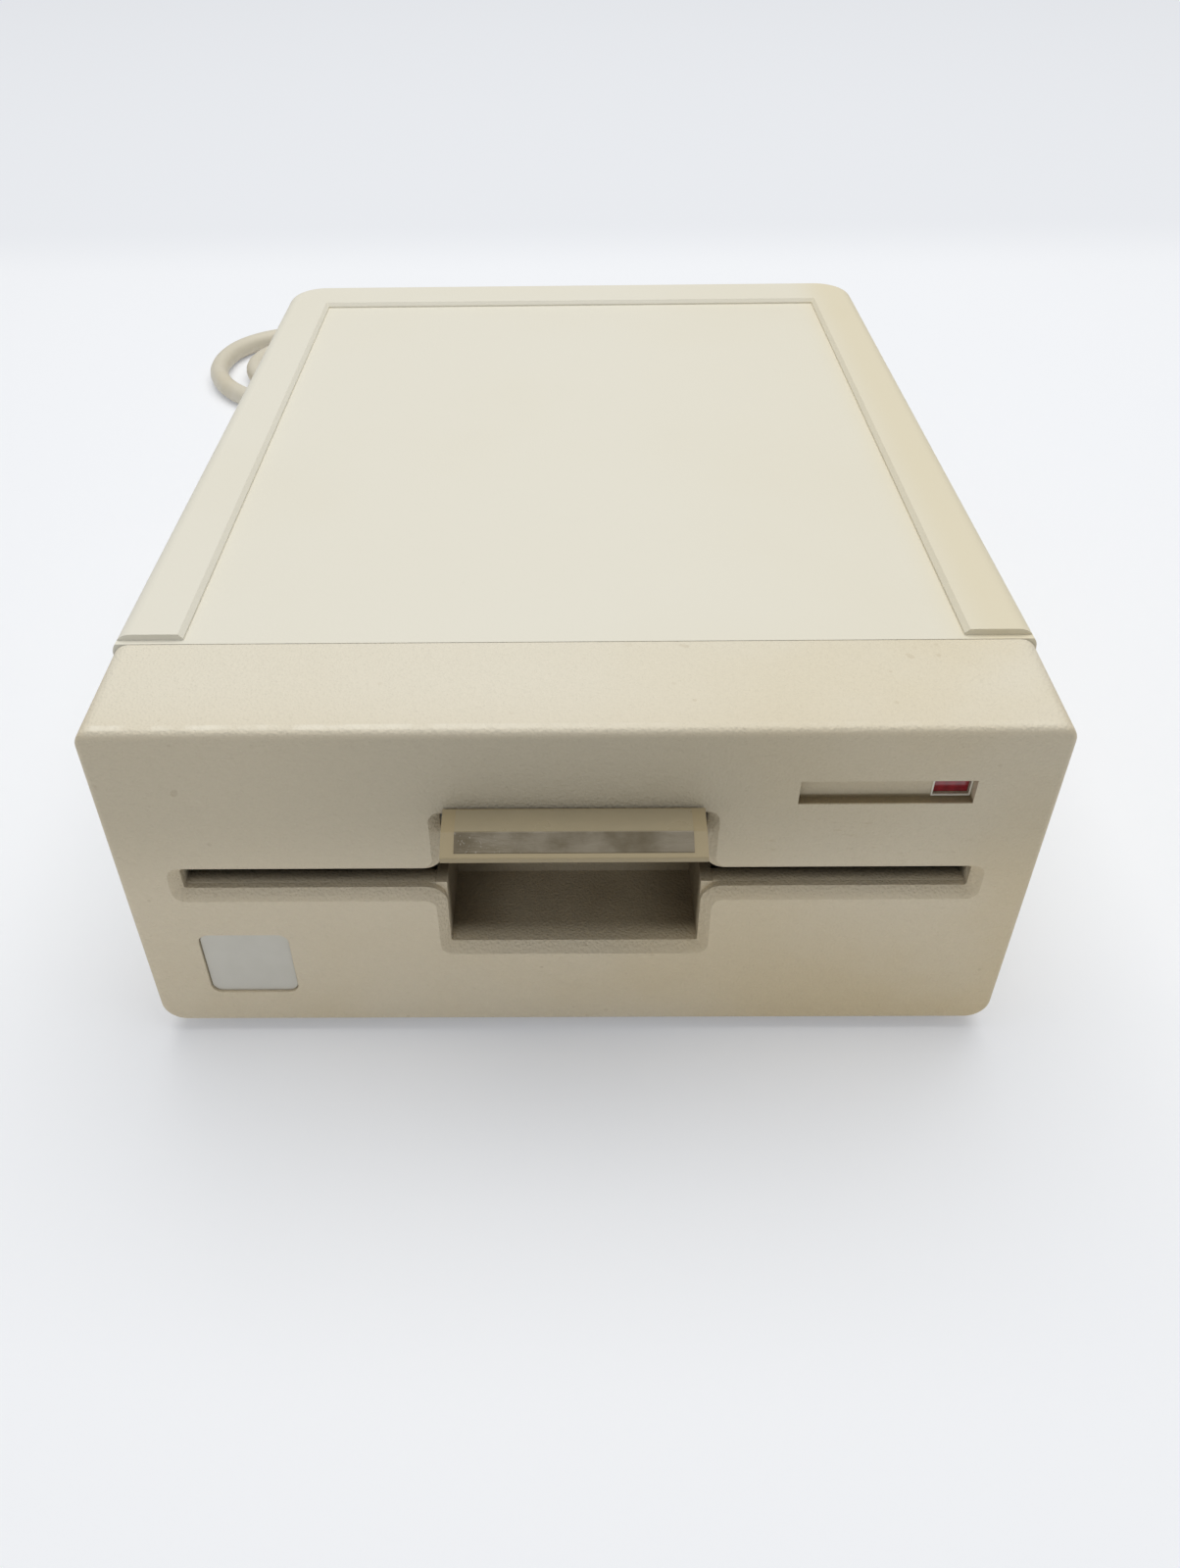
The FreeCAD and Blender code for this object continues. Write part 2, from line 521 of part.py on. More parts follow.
def add_cover_posts(cover):
    """Four screw posts that hang from the cover's top, each webbed to the side wall."""
    spots = [(f"{sign} * PostX", y) for sign in SIDES for y in ("PostFrontY", "PostBackY")]
    posts = [(x, y, "PostRadius") for x, y in spots]
    pad(cover, drawn(cover, "XY", "SplitZ", rings=posts), "InnerTopZ - SplitZ")
    webs = [oblong((f"{sign} * (HalfWidth - Wall / 2)", f"{sign} * PostX")[::int(sign)],
                   (f"{y} - WebThick / 2", f"{y} + WebThick / 2"))
            for sign in SIDES for y in ("PostFrontY", "PostBackY")]
    pad(cover, drawn(cover, "XY", "SplitZ", webs), "InnerTopZ - SplitZ")
    pilots = [(x, y, "ScrewRadius") for x, y in spots]
    pocket(cover, drawn(cover, "XY", "SplitZ", rings=pilots), "CaseScrew - SplitHeight + HeadSink")


def bottom_case():
    """Floor tray with its posts, screw sinks and foot holes."""
    tray = new_body("bottom_case")
    plan = oblong(("-HalfWidth", "HalfWidth"), ("CoverY", "RearY"))
    pad(tray, drawn(tray, "XY", "BaseZ", [plan]), "SplitHeight")
    dressed(tray, "Fillet", "RearRound", lambda b, e: along(b, "z") and near(b.YMin, "RearY"))
    dressed(tray, "Fillet", "BottomRound",
            lambda b, e: near(b.ZMax, "BaseZ") and b.YMax > size("CoverY") + 1)
    pocket(tray, drawn(tray, "XY", "BaseZ + Wall", [case_room()]), "SplitHeight - Wall")
    back = oblong(("-PanelWidth / 2", "PanelWidth / 2"), ("BaseZ + Wall", "SplitZ"))
    pocket(tray, drawn(tray, "XZ", "RearY - Wall", [back]), "Wall")
    posts = [(f"{sign} * PostX", y) for sign in SIDES for y in ("PostFrontY", "PostBackY")]
    mounts = [(f"{sign} * MountX", y) for sign in SIDES for y in ("MountFrontY", "MountBackY")]
    feet = [(f"{sign} * (HalfWidth - FootSide)", y) for sign in SIDES
            for y in ("FaceY + FootFront", "RearY - FootBack")]
    pad(tray, drawn(tray, "XY", "BaseZ + Wall / 2", rings=[(x, y, "PostRadius") for x, y in posts]),
        "SplitHeight - Wall / 2")
    pad(tray, drawn(tray, "XY", "BaseZ + Wall / 2", rings=[(x, y, "MountRadius") for x, y in mounts]),
        "MountHeight - Wall / 2")
    shanks = [(x, y, "ScrewRadius") for x, y in posts + mounts]
    pocket(tray, drawn(tray, "XY", "BaseZ", rings=shanks), "SplitHeight")
    heads = [(x, y, "HeadRadius") for x, y in posts + mounts]
    pocket(tray, drawn(tray, "XY", "BaseZ", rings=heads), "HeadSink")
    pocket(tray, drawn(tray, "XY", "BaseZ", rings=[(x, y, "PegRadius") for x, y in feet]), "Wall")
    return node(tray, "bottom_case")


def rubber_feet():
    """Four round feet with pegs through the floor."""
    feet = []
    for side in SIDES:
        for y in ("FaceY + FootFront", "RearY - FootBack"):
            x = f"{side} * (HalfWidth - FootSide)"
            sole = taper("sole", "z", ("FootRadius - FootDraft", "FootRadius"), (x, y, "0"), "FootHeight")
            peg = rod("peg", "z", "PegRadius", (x, y, "FootHeight"), "PegHeight")
            feet.append(join("foot", sole, peg))
    return node(group("rubber_feet", *feet), "rubber_feet")


def screw(axis, start, length, outward):
    """Pan-head screw: the head starts at a place and the shank runs on from it."""
    sign = "-1" if outward else "1"
    turn = Rotation(UNIT["x"], 180) if outward else Rotation()
    head = rod("head", axis, "HeadRadius - SeamGap", start, "HeadHeight")
    index = "xyz".index(axis)
    inner = list(start)
    inner[index] = f"{start[index]} + ({sign}) * HeadHeight"
    shank = rod("shank", axis, "ScrewRadius", inner, length)
    for piece in (head, shank):
        piece.Placement = Placement(piece.Placement.Base, turn.multiply(piece.Placement.Rotation))
    return join("screw", head, shank)


def case_screws():
    screws = [screw("z", (f"{side} * PostX", y, "BaseZ + HeadSink - HeadHeight"), "CaseScrew", False)
              for side in SIDES for y in ("PostFrontY", "PostBackY")]
    return node(group("case_screws", *screws), "case_screws")


def chassis_screws():
    screws = [screw("z", (f"{side} * MountX", y, "BaseZ + HeadSink - HeadHeight"), "MountScrew", False)
              for side in SIDES for y in ("MountFrontY", "MountBackY")]
    return node(group("chassis_screws", *screws), "chassis_screws")


def bezel_screws():
    """Four screws from behind the chassis ears into the bezel's bosses."""
    screws = [screw("y", (f"{side} * BossX", "SeamY + EarThick + HeadHeight", level), "BezelScrew", True)
              for side in SIDES for level in ("BaseZ + BossLow", "BaseZ + BossHigh")]
    return node(group("bezel_screws", *screws), "bezel_screws")


def indicator_lens():
    """Red lens: a block in the window's hole with a flange behind the face and a lamp bore."""
    gap = "SeamGap / 2"
    front = block("lens_front", (f"LensX + {gap}", f"LensX + LensWidth - {gap}"),
                  ("FaceY + WindowDepth + LensSetback", "FaceY + FaceWall + LensDepth"),
                  (f"LensZ + {gap}", f"LensZ + LensTall - {gap}"))
    flange = block("lens_flange", ("LensX - LensFlange", "LensX + LensWidth + LensFlange"),
                   ("FaceY + FaceWall", "FaceY + FaceWall + LensFlange"),
                   ("LensZ - LensFlange", "LensZ + LensTall + LensFlange"))
    bore = rod("lamp_bore", "y", "LampRadius",
               ("LensX + LensWidth / 2", "FaceY + FaceWall + LensFlange", "LensZ + LensTall / 2"), "LensDepth")
    return node(cut("lens", join("lens_body", front, flange), bore), "indicator_lens")


def indicator_lamp():
    """Lamp pressed into the lens, with its two wire legs."""
    start = ("LensX + LensWidth / 2", "FaceY + FaceWall + LensFlange", "LensZ + LensTall / 2")
    bulb = rod("bulb", "y", "LampRadius", start, "LampLength")
    legs = [rod("leg", "y", "WireRadius", (f"{start[0]} + ({side}) * LampRadius / 2",
                f"{start[1]} + LampLength - WireRadius", start[2]), "2 * LampLength")
            for side in SIDES]
    return node(join("lamp", bulb, *legs), "indicator_lamp")


# Rear panel and its fittings

def rear_panel():
    """Panel in the rear opening, with a lip behind the wall and holes for socket and cord."""
    panel = new_body("rear_panel")
    half, gap = "PanelWidth / 2", "SeamGap"
    plate = oblong((f"-({half}) + {gap}", f"{half} - {gap}"), ("BaseZ + Wall", f"BaseZ + PanelTop - {gap}"))
    pad(panel, drawn(panel, "XZ", "RearY - Wall", [plate]), "Wall")
    lip = oblong((f"-({half}) - PanelLip", f"{half} + PanelLip"), ("BaseZ + Wall", "BaseZ + PanelTop + PanelLip"))
    pad(panel, drawn(panel, "XZ", "RearY - Wall - LipThick", [lip]), "LipThick")
    shell = dee("SocketX", "SocketZ", "ShellWall + 2 * ShellFit")
    jacks = [(f"SocketX + ({side}) * JackSpan / 2", "SocketZ", "JackRadius + SeamGap") for side in SIDES]
    depth = "Wall + LipThick"
    pocket(panel, drawn(panel, "XZ", "RearY - Wall - LipThick", [shell]), depth)
    pocket(panel, drawn(panel, "XZ", "RearY - Wall - LipThick", rings=jacks), depth)
    pocket(panel, drawn(panel, "XZ", "RearY - Wall - LipThick", rings=[("CordX", "CordZ", "BootNeck")]), depth)
    return node(panel, "rear_panel")


def dee(x, z, grown):
    """Corners of a D connector's shell, its longer side up, grown outwards by an amount."""
    high = f"ShellWidth / 2 + {grown}"
    low = f"{high} - (ShellTall + 2 * ({grown})) * DeeSlant"
    top, bottom = f"{z} + ShellTall / 2 + {grown}", f"{z} - ShellTall / 2 - ({grown})"
    return [(f"{x} - ({low})", bottom), (f"{x} + {low}", bottom), (f"{x} + {high}", top), (f"{x} - ({high})", top)]


def contacts(x, z, radius):
    """Spots of the contacts, in two staggered rows."""
    return [(f"{x} + ({number} - (PinCount - {1 + row}) / 2) * PinPitch", f"{z} + ({1 - 2 * row}) * PinRise", radius)
            for row in (0, 1) for number in range(SIZES["PinCount"] - row)]


def chain_socket():
    """Socket for a second drive: flange behind the panel, filled shell in its hole, body inside."""
    socket = new_body("chain_socket")
    back = "RearY - Wall - LipThick"
    core = oblong(("SocketX - SocketBody / 2", "SocketX + SocketBody / 2"),
                  ("SocketZ - ShellTall / 2", "SocketZ + ShellTall / 2"))
    pad(socket, drawn(socket, "XZ", f"{back} - SocketDeep", [core]), "SocketDeep")
    flange = oblong(("SocketX - ConnectorWidth / 2", "SocketX + ConnectorWidth / 2"),
                    ("SocketZ - ConnectorTall / 2", "SocketZ + ConnectorTall / 2"))
    pad(socket, drawn(socket, "XZ", f"{back} - FlangeThick", [flange]), "FlangeThick")
    pad(socket, drawn(socket, "XZ", back, [dee("SocketX", "SocketZ", "0")]), "LipThick + ShellOut")
    dressed(socket, "Fillet", "ShellRound", lambda b, e: along(b, "y") and near(b.YLength, "LipThick + ShellOut"))
    pocket(socket, drawn(socket, "XZ", back, rings=contacts("SocketX", "SocketZ", "ContactHole")),
           "LipThick + ShellOut")
    return node(socket, "chain_socket")


def socket_posts():
    """Two threaded posts beside the socket."""
    posts = []
    for side in SIDES:
        place = (f"SocketX + ({side}) * JackSpan / 2", "RearY - Wall - LipThick", "SocketZ")
        post = rod("jack", "y", "JackRadius", place, "LipThick + JackOut")
        hole = rod("jack_hole", "y", "ThreadRadius", place, "LipThick + JackOut")
        posts.append(cut("jack_post", post, hole))
    return node(group("socket_posts", *posts), "socket_posts")


def strain_relief():
    """Boot round the cord: neck in the panel, flanges on both sides, tapered tail."""
    inner = "RearY - Wall - LipThick"
    collar = rod("collar", "y", "BootFlange", ("CordX", f"{inner} - FlangeLength", "CordZ"), "FlangeLength")
    neck = rod("neck", "y", "BootNeck", ("CordX", inner, "CordZ"), "Wall + LipThick")
    flange = rod("flange", "y", "BootFlange", ("CordX", "RearY", "CordZ"), "FlangeLength")
    tail = taper("tail", "y", ("BootRoot", "BootTip"), ("CordX", "RearY", "CordZ"), "BootLength")
    bore = rod("cord_bore", "y", "CordRadius", ("CordX", f"{inner} - FlangeLength", "CordZ"),
               "FlangeLength + Wall + LipThick + BootLength")
    return node(cut("boot", join("boot_body", collar, neck, flange, tail), bore), "strain_relief")


# Chassis

def chassis():
    """Die-cast frame: deck, side walls, front bar, ears, feet, bearing housing and rod blocks."""
    front = "SeamY"
    deck_y = (front, "MotorY")
    solids = [
        block("deck", ("-InnerWallX", "InnerWallX"), deck_y, ("DeckZ - DeckThick", "DeckZ")),
        block("front_bar", ("-ChassisHalf", "ChassisHalf"), ("BarY", "BarY + BarWidth"), ("BarZ", "BarTopZ")),
        block("motor_wall", ("-StepWallHalf", "StepWallHalf"), ("StepY", "MotorY"),
              ("BaseZ + StepWallLow", "BaseZ + StepWallTop")),
        block("rod_block", ("-BlockHalf", "BlockHalf"), ("BlockY", "BlockY + BlockDepth"),
              ("BaseZ + BlockLow", "BaseZ + BlockTop")),
        rod("housing", "z", "HousingRadius", ("0", "SpindleY", "BaseZ + HousingLow"), "HousingTop - HousingLow"),
    ]
    for side in SIDES:
        solids += chassis_side(side, front)
    for turn in (30, 150, 270):
        x, y = f"PostRing * cos({turn})", f"SpindleY + PostRing * sin({turn})"
        solids.append(rod("stator_post", "z", "StatorPost", (x, y, "StatorZ + BoardThick"),
                          "StatorDrop + DeckThick / 2"))
    window = block("window", ("-WindowHalf", "WindowHalf"), ("BlockY + BlockDepth", "StepY"),
                   ("DeckZ - 2 * DeckThick", "DeckZ + DeckThick"))
    holes = [
        rod("bearing_bore", "z", "BearingRadius", ("0", "SpindleY", "BaseZ + HousingLow"), "HousingTop - HousingLow"),
        rod("screw_hole", "y", "BushRadius", ("0", "BlockY", "RodZ"), "BlockDepth"),
        rod("motor_hole", "y", "MotorHole", ("0", "StepY", "RodZ"), "StepWallThick"),
    ]
    for side in SIDES:
        holes += chassis_holes(side)
    cast = cut("cast_frame", join("cast", *solids), window, *holes)
    return node(cast, "chassis")


def chassis_side(side, front):
    """One side of the frame with its ears, foot pads, pivot lug and board stands."""
    out = "ChassisHalf"
    solids = [block("side_wall", span(side, "InnerWallX", out), (front, "ChassisEndY"),
                    ("BaseZ + ChassisFoot", "BarZ")),
              block("pivot_lug", span(side, "ArmBarHalf + LugGap", "ArmBarHalf + LugGap + LugThick"),
                    ("ArmY - LugDepth / 2", "ArmY + LugDepth / 2"), ("BaseZ + LugLow", "BarZ"))]
    for level in ("BossLow", "BossHigh"):
        middle = f"BaseZ + {level}"
        solids.append(block("ear", span(side, "InnerWallX", "BossX + BossRadius"), (front, f"{front} + EarThick"),
                            (f"{middle} - EarHeight / 2", f"{middle} + EarHeight / 2")))
    for y in ("MountFrontY", "MountBackY"):
        solids.append(block("foot_pad", span(side, "InnerWallX - PadWidth", "InnerWallX"),
                            (f"{y} - FootPad / 2", f"{y} + FootPad / 2"),
                            ("BaseZ + ChassisFoot", "BaseZ + ChassisFoot + EarThick")))
    for y in ("FaceY + TabFront", "RearY - TabBack"):
        solids.append(block("tab", span(side, "BoardHalf - TabSide - StandRadius", "InnerWallX"),
                            (f"{y} - TabDepth / 2", f"{y} + TabDepth / 2"), ("BarZ - TabThick", "BarZ")))
        solids.append(rod("stand", "z", "StandRadius", (f"({side}) * (BoardHalf - TabSide)", y, "BarZ"),
                          "BoardHeight - ChassisTop"))
    return solids


def chassis_holes(side):
    """Screw holes, rod holes and pivot bores on one side of the frame."""
    holes = [rod("rod_hole", "y", "RodRadius", (f"({side}) * RodX", "BlockY", "RodZ"), "MotorY - BlockY"),
             rod("pivot_hole", "x", "ArmBore", (f"({side}) * (ArmBarHalf + LugThick / 2) - LugThick",
                 "ArmY", "ArmZ"), "2 * LugThick")]
    for level in ("BossLow", "BossHigh"):
        holes.append(rod("ear_hole", "y", "ScrewRadius", (f"({side}) * BossX", "SeamY", f"BaseZ + {level}"),
                         "EarThick"))
    for y in ("MountFrontY", "MountBackY"):
        holes.append(rod("foot_hole", "z", "ScrewRadius", (f"({side}) * MountX", y, "BaseZ + ChassisFoot"),
                         "EarThick"))
    for y in ("FaceY + TabFront", "RearY - TabBack"):
        holes.append(rod("stand_hole", "z", "ScrewRadius", (f"({side}) * (BoardHalf - TabSide)", y,
                         "BarZ - TabThick"), "TabThick + BoardHeight - ChassisTop"))
    holes.append(rod("bracket_hole", "z", "ScrewRadius", (f"({side}) * BracketScrewX",
                     "BarY + BarWidth / 2", "BarZ"), "BarThick"))
    return holes


def disk_guide(word, side):
    """Channel that holds one edge of the disk."""
    edge = "InnerWallX - GuideWall"
    rail = block("rail", span(side, "InnerWallX - GuideGrip", "InnerWallX"), ("SeamY + GuideGap", "PathEndY"),
                 ("PathLowZ - GuideLedge", "PathHighZ + GuideLedge"))
    groove = block("groove", span(side, "InnerWallX - GuideGrip", edge), ("SeamY + GuideGap", "PathEndY"),
                   ("PathLowZ", "PathHighZ"))
    return node(cut("guide", rail, groove), f"disk_guide_{word}")


# Lever and what it turns

def front_lever():
    """Lever in its raised pose: visible shelf, arm through the notch and hub on the shaft."""
    lever = new_body("front_lever")
    section = lever_section()
    pad(lever, drawn(lever, "YZ", "-LeverWidth / 2", [section]), "LeverWidth")
    hub = drawn(lever, "YZ", "-LeverWidth / 2", rings=[("0", "0", "HubRadius")])
    pad(lever, hub, "LeverWidth")
    bore = drawn(lever, "YZ", "-LeverWidth / 2", rings=[("0", "0", "ShaftRadius")])
    pocket(lever, bore, "LeverWidth")
    dressed(lever, "Fillet", "LabelEdge",
            lambda b, e: along(b, "x") and b.YMax < size("FaceY - PivotY - LeverGap") - 0.01)
    return node(put(lever, "0", "PivotY", "PivotZ"), "front_lever")


def lever_facets():
    """Rear edge, ridge and tip of the lever's upper side, measured from its pivot."""
    top = "LeverTop - PivotHeight"
    return [("-PivotInset - LeverGap", top), ("-PivotInset - RidgeReach", f"{top} - RidgeDrop"),
            ("-PivotInset - LeverReach", f"{top} - TipDrop")]


def lever_section():
    """Side outline of the lever, measured from its pivot."""
    rear, ridge, tip = lever_facets()
    under = [(f"{tip[0]} + TipBack", f"{tip[1]} - TipThick"),
             (f"{ridge[0]} + TipBack", f"{ridge[1]} - PlateThick"),
             ("-PivotInset - ArmAhead", f"{rear[1]} - RidgeDrop - PlateThick"),
             ("-PivotInset - ArmAhead", "HubRadius - ArmThick"),
             ("-HubRadius / 2", "-HubRadius / 2"), ("0", "HubRadius"), (rear[0], "HubRadius")]
    return [rear, ridge, tip] + under


def lever_label():
    """Clear film over both facets of the lever."""
    label = new_body("lever_label")
    rear, ridge, tip = lever_facets()
    slope = "RidgeDrop / (RidgeReach - LeverGap)"
    fall = "(TipDrop - RidgeDrop) / (LeverReach - RidgeReach)"
    back = (f"{rear[0]} - LabelEdge", f"{rear[1]} - LabelEdge * {slope}")
    front = (f"{tip[0]} + 2 * LabelEdge", f"{tip[1]} + 2 * LabelEdge * {fall}")
    film = [back, ridge, front]
    raised = [(y, f"{z} + LabelThick") for y, z in film[::-1]]
    pad(label, drawn(label, "YZ", "-LabelWidth / 2", [film + raised]), "LabelWidth")
    return node(put(label, "0", "PivotY", "PivotZ"), "lever_label")


def lever_shaft():
    shaft = rod("shaft", "x", "ShaftRadius", ("-ShaftLeft", "PivotY", "PivotZ"), "ShaftLeft + ShaftRight")
    return node(shaft, "lever_shaft")


def lever_cam():
    """Eccentric that lifts the clamp arm's tail as the lever comes down."""
    half = "LeverTurn / 2 + LeverPush / 2"
    y = f"PivotY + CamOffset * cos({half})"
    z = f"PivotZ - CamOffset * sin({half})"
    disc = rod("cam_disc", "x", "CamRadius", ("CamInner", y, z), "CamWidth")
    bore = rod("cam_bore", "x", "ShaftRadius", ("CamInner", "PivotY", "PivotZ"), "CamWidth")
    return node(cut("cam", disc, bore), "lever_cam")


def latch_disc():
    """Disc with the tooth gap that the latch holds when the lever is down."""
    disc = rod("disc", "x", "LatchRadius", ("-CamInner - CamWidth", "PivotY", "PivotZ"), "CamWidth")
    bore = rod("disc_bore", "x", "ShaftRadius", ("-CamInner - CamWidth", "PivotY", "PivotZ"), "CamWidth")
    gap = block("tooth_gap", ("-CamInner - CamWidth", "-CamInner"), ("LatchRadius - NotchDeep", "2 * LatchRadius"),
                ("0", "2 * NotchDeep"))
    turned = group("tooth_gap_turned", gap)
    lift(turned, "PivotY", "PivotZ", "-LeverTurn + LeverPush * 3")
    return node(cut("latch", disc, bore, turned), "latch_disc")


def lever_bracket():
    """Folded steel bracket: plate on the front bar, two ears with shaft bores, latch stud."""
    low, high = "BaseZ + EarLow", "BarTopZ"
    front = "FaceY + BracketFront"
    plate = block("bracket_plate", ("-BracketWide", "BracketWide"), (front, "BarY + BarWidth"),
                  (high, f"{high} + SheetThick"))
    right = block("ear_right", ("BracketWide - SheetThick", "BracketWide"), (front, f"{front} + EarDepth"), (low, high))
    left = block("ear_left", ("-BracketWide", "-BracketWide + SheetThick"), (front, f"{front} + LatchEarDepth"),
                 (low, high))
    stud = rod("stud", "x", "StudRadius", ("-CamInner - CamWidth - SheetThick", "LatchY", "LatchZ"),
               "CamWidth + CamInner + SheetThick - BracketWide")
    slot = block("bar_slot", ("-BracketWide", "BracketWide"), ("BarY - GuideGap", "BarY + BarWidth"),
                 (low, high))
    bores = [rod("ear_bore", "x", "ShaftRadius + RunGap", ("-BracketWide", "PivotY", "PivotZ"), "2 * BracketWide")]
    for side in SIDES:
        bores.append(rod("plate_hole", "z", "ScrewRadius", (f"({side}) * BracketScrewX",
                         "BarY + BarWidth / 2", high), "SheetThick"))
    folded = cut("folded", join("bracket_sheet", plate, right, left), slot, *bores)
    return node(join("bracket", folded, stud), "lever_bracket")


def bracket_screws():
    screws = [screw("z", (f"({side}) * BracketScrewX", "BarY + BarWidth / 2", "BarTopZ + SheetThick + HeadHeight"),
                    "BracketScrewLength", True) for side in SIDES]
    return node(group("bracket_screws", *screws), "bracket_screws")


def lever_latch():
    """Sprung pawl on the bracket's stud, its nose on the latch disc's rim."""
    latch = new_body("lever_latch")
    reach = "LatchY - PivotY - LatchRadius - PawlGap"
    pawl = [(f"-({reach})", "-LatchThick / 2"), ("0", "-LatchThick"), ("LatchTail", "LatchThick / 2"),
            ("LatchTail", "LatchThick"), ("0", "LatchThick"), (f"-({reach})", "0")]
    left = "-CamInner - CamWidth"
    pad(latch, drawn(latch, "YZ", left, [pawl]), "CamWidth")
    pocket(latch, drawn(latch, "YZ", left, rings=[("0", "0", "StudRadius + RunGap")]), "CamWidth")
    return node(put(latch, "0", "LatchY", "LatchZ"), "lever_latch")


def lever_spring():
    """Torsion spring round the shaft: a short leg beside the cam, a long one under the front bar."""
    radius, wire = size("SpringRadius"), size("WireRadius")
    middle = Vector(size("SpringStart"), size("PivotY"), size("PivotZ"))
    bar = Vector(0, size("BarY + WireRadius - PivotY"), size("BarZ - WireRadius - PivotZ"))
    swing = math.atan2(bar.z, bar.y) - math.acos(radius / bar.Length) - math.pi / 2
    whole = 2 * math.pi * size("SpringTurns") + swing
    rise = size("SpringPitch") / (2 * math.pi)

    def on_coil(angle):
        away = Vector(0, -radius * math.sin(angle), radius * math.cos(angle))
        return middle + away + Vector(angle * rise, 0, 0)
    steps = [on_coil(whole * step / COIL_STEPS) for step in range(COIL_STEPS + 1)]
    coil = Part.BSplineCurve()
    coil.interpolate(steps)
    leave, arrive = coil.tangent(coil.FirstParameter)[0], coil.tangent(coil.LastParameter)[0]
    tip = steps[0] - leave * size("SpringLeg")
    under_bar = steps[-1] + arrive * math.sqrt(bar.Length ** 2 - radius ** 2)
    path = Part.Wire([Part.makeLine(tip, steps[0]), coil.toShape(), Part.makeLine(steps[-1], under_bar)])
    section = Part.Wire(Part.makeCircle(wire, tip, leave))
    spring = DOC.addObject("Part::Feature", "lever_spring")
    spring.Shape = path.makePipeShell([section], True, False)
    return node(spring, "lever_spring")


# Clamp arm and cone, modelled closed about the arm's pivot and lifted at rest

def clamp_arm():
    """Arm over the disk: pivot bar, plate with ribs, tail over the cam."""
    bar = block("arm_bar", ("-ArmBarHalf", "ArmBarHalf"), ("-ArmBarDepth / 2", "ArmBarDepth / 2"),
                ("-ArmBarTall / 2", "ArmBarTall / 2"))
    top = "ArmPlateLow + ArmPlateThick"
    plate = block("arm_plate", ("-ArmPlateHalf", "ArmPlateHalf"), ("-ArmBarDepth / 2", "ArmPlateEnd"),
                  ("ArmPlateLow", top))
    ribs = [block("arm_rib", (f"({side}) * ArmPlateHalf - ArmRib / 2", f"({side}) * ArmPlateHalf + ArmRib / 2"),
                  ("-ArmBarDepth / 2", "ArmPlateEnd"), ("ArmPlateLow", f"{top} + RibTall"))
            for side in SIDES]
    tail_low = "PivotHeight - ArmHeight + CamRadius + CamOffset * sin(LeverTurn / 2 + LeverPush / 2) + TailGap"
    tail = block("arm_tail", ("CamInner", "CamInner + CamWidth"), ("-TailReach", "0"),
                 (tail_low, f"{tail_low} + TailThick"))
    riser = block("arm_riser", ("CamInner", "CamInner + CamWidth"), ("-ArmBarDepth / 2", "0"),
                  ("0", f"{tail_low} + TailThick"))
    pivot = rod("arm_bore", "x", "ArmBore + RunGap", ("-ArmBarHalf", "0", "0"), "2 * ArmBarHalf")
    hole = rod("cone_hole", "z", "ConeStub + RunGap", ("0", "ArmReach", "ArmPlateLow"), "ArmPlateThick")
    arm = cut("arm", join("arm_solid", bar, plate, *ribs, tail, riser), pivot, hole)
    return node(lift(arm, "ArmY", "ArmZ", "ArmLift"), "clamp_arm")


def arm_pins():
    pins = [rod("arm_pin", "x", "ArmBore", (f"({side}) * (ArmBarHalf + LugThick / 2) - LugThick", "ArmY", "ArmZ"),
                "2 * LugThick") for side in SIDES]
    return node(group("arm_pins", *pins), "arm_pins")


def clamp_cone():
    """Cone that centres the disk, with the stub that spins in the arm."""
    low = "HubTopZ - ArmZ + ClampGap"
    cone = taper("cone", "z", ("ConeTip", "ConeRadius"), ("0", "ArmReach", f"{low} - ConeDepth"), "ConeDepth")
    core = rod("cone_core", "z", "ConeRadius", ("0", "ArmReach", low), "RingThick")
    shoulder = rod("cone_shoulder", "z", "RetainerRadius", ("0", "ArmReach", low),
                   f"ArmPlateLow - RunGap - ({low})")
    stub = rod("cone_stub", "z", "ConeStub", ("0", "ArmReach", low),
               f"ArmPlateLow + ArmPlateThick + RunGap + RetainerThick - ({low})")
    spun = join("cone_body", cone, core, shoulder, stub)
    return node(lift(spun, "ArmY", "ArmZ", "ArmLift"), "clamp_cone")


def clamp_ring():
    """Ring round the cone that presses the disk on the hub's rim."""
    low = "HubTopZ - ArmZ + ClampGap"
    disc = rod("ring_disc", "z", "RingRadius", ("0", "ArmReach", low), "RingThick")
    hole = rod("ring_hole", "z", "ConeRadius", ("0", "ArmReach", low), "RingThick")
    return node(lift(cut("ring", disc, hole), "ArmY", "ArmZ", "ArmLift"), "clamp_ring")


def cone_retainer():
    """Washer pressed on the stub above the arm."""
    low = "ArmPlateLow + ArmPlateThick + RunGap"
    disc = rod("washer", "z", "RetainerRadius", ("0", "ArmReach", low), "RetainerThick")
    hole = rod("washer_hole", "z", "ConeStub", ("0", "ArmReach", low), "RetainerThick")
    return node(lift(cut("retainer", disc, hole), "ArmY", "ArmZ", "ArmLift"), "cone_retainer")


# Spindle and its motor

def spindle_shaft():
    length = "HubTopZ - RecessDeep - BaseZ - SpindleLow"
    return node(rod("spindle", "z", "SpindleRadius", ("0", "SpindleY", "BaseZ + SpindleLow"), length), "spindle_shaft")


def spindle_hub():
    """Hub that carries the disk: flange ring round a recess for the cone."""
    low = "HubTopZ - HubThick"
    disc = rod("hub_disc", "z", "HubFlange", ("0", "SpindleY", low), "HubThick")
    recess = taper("hub_recess", "z", ("HubRecess - RecessDraft", "HubRecess"),
                   ("0", "SpindleY", "HubTopZ - RecessDeep"), "RecessDeep")
    bore = rod("hub_bore", "z", "SpindleRadius", ("0", "SpindleY", low), "HubThick")
    return node(cut("hub", disc, recess, bore), "spindle_hub")


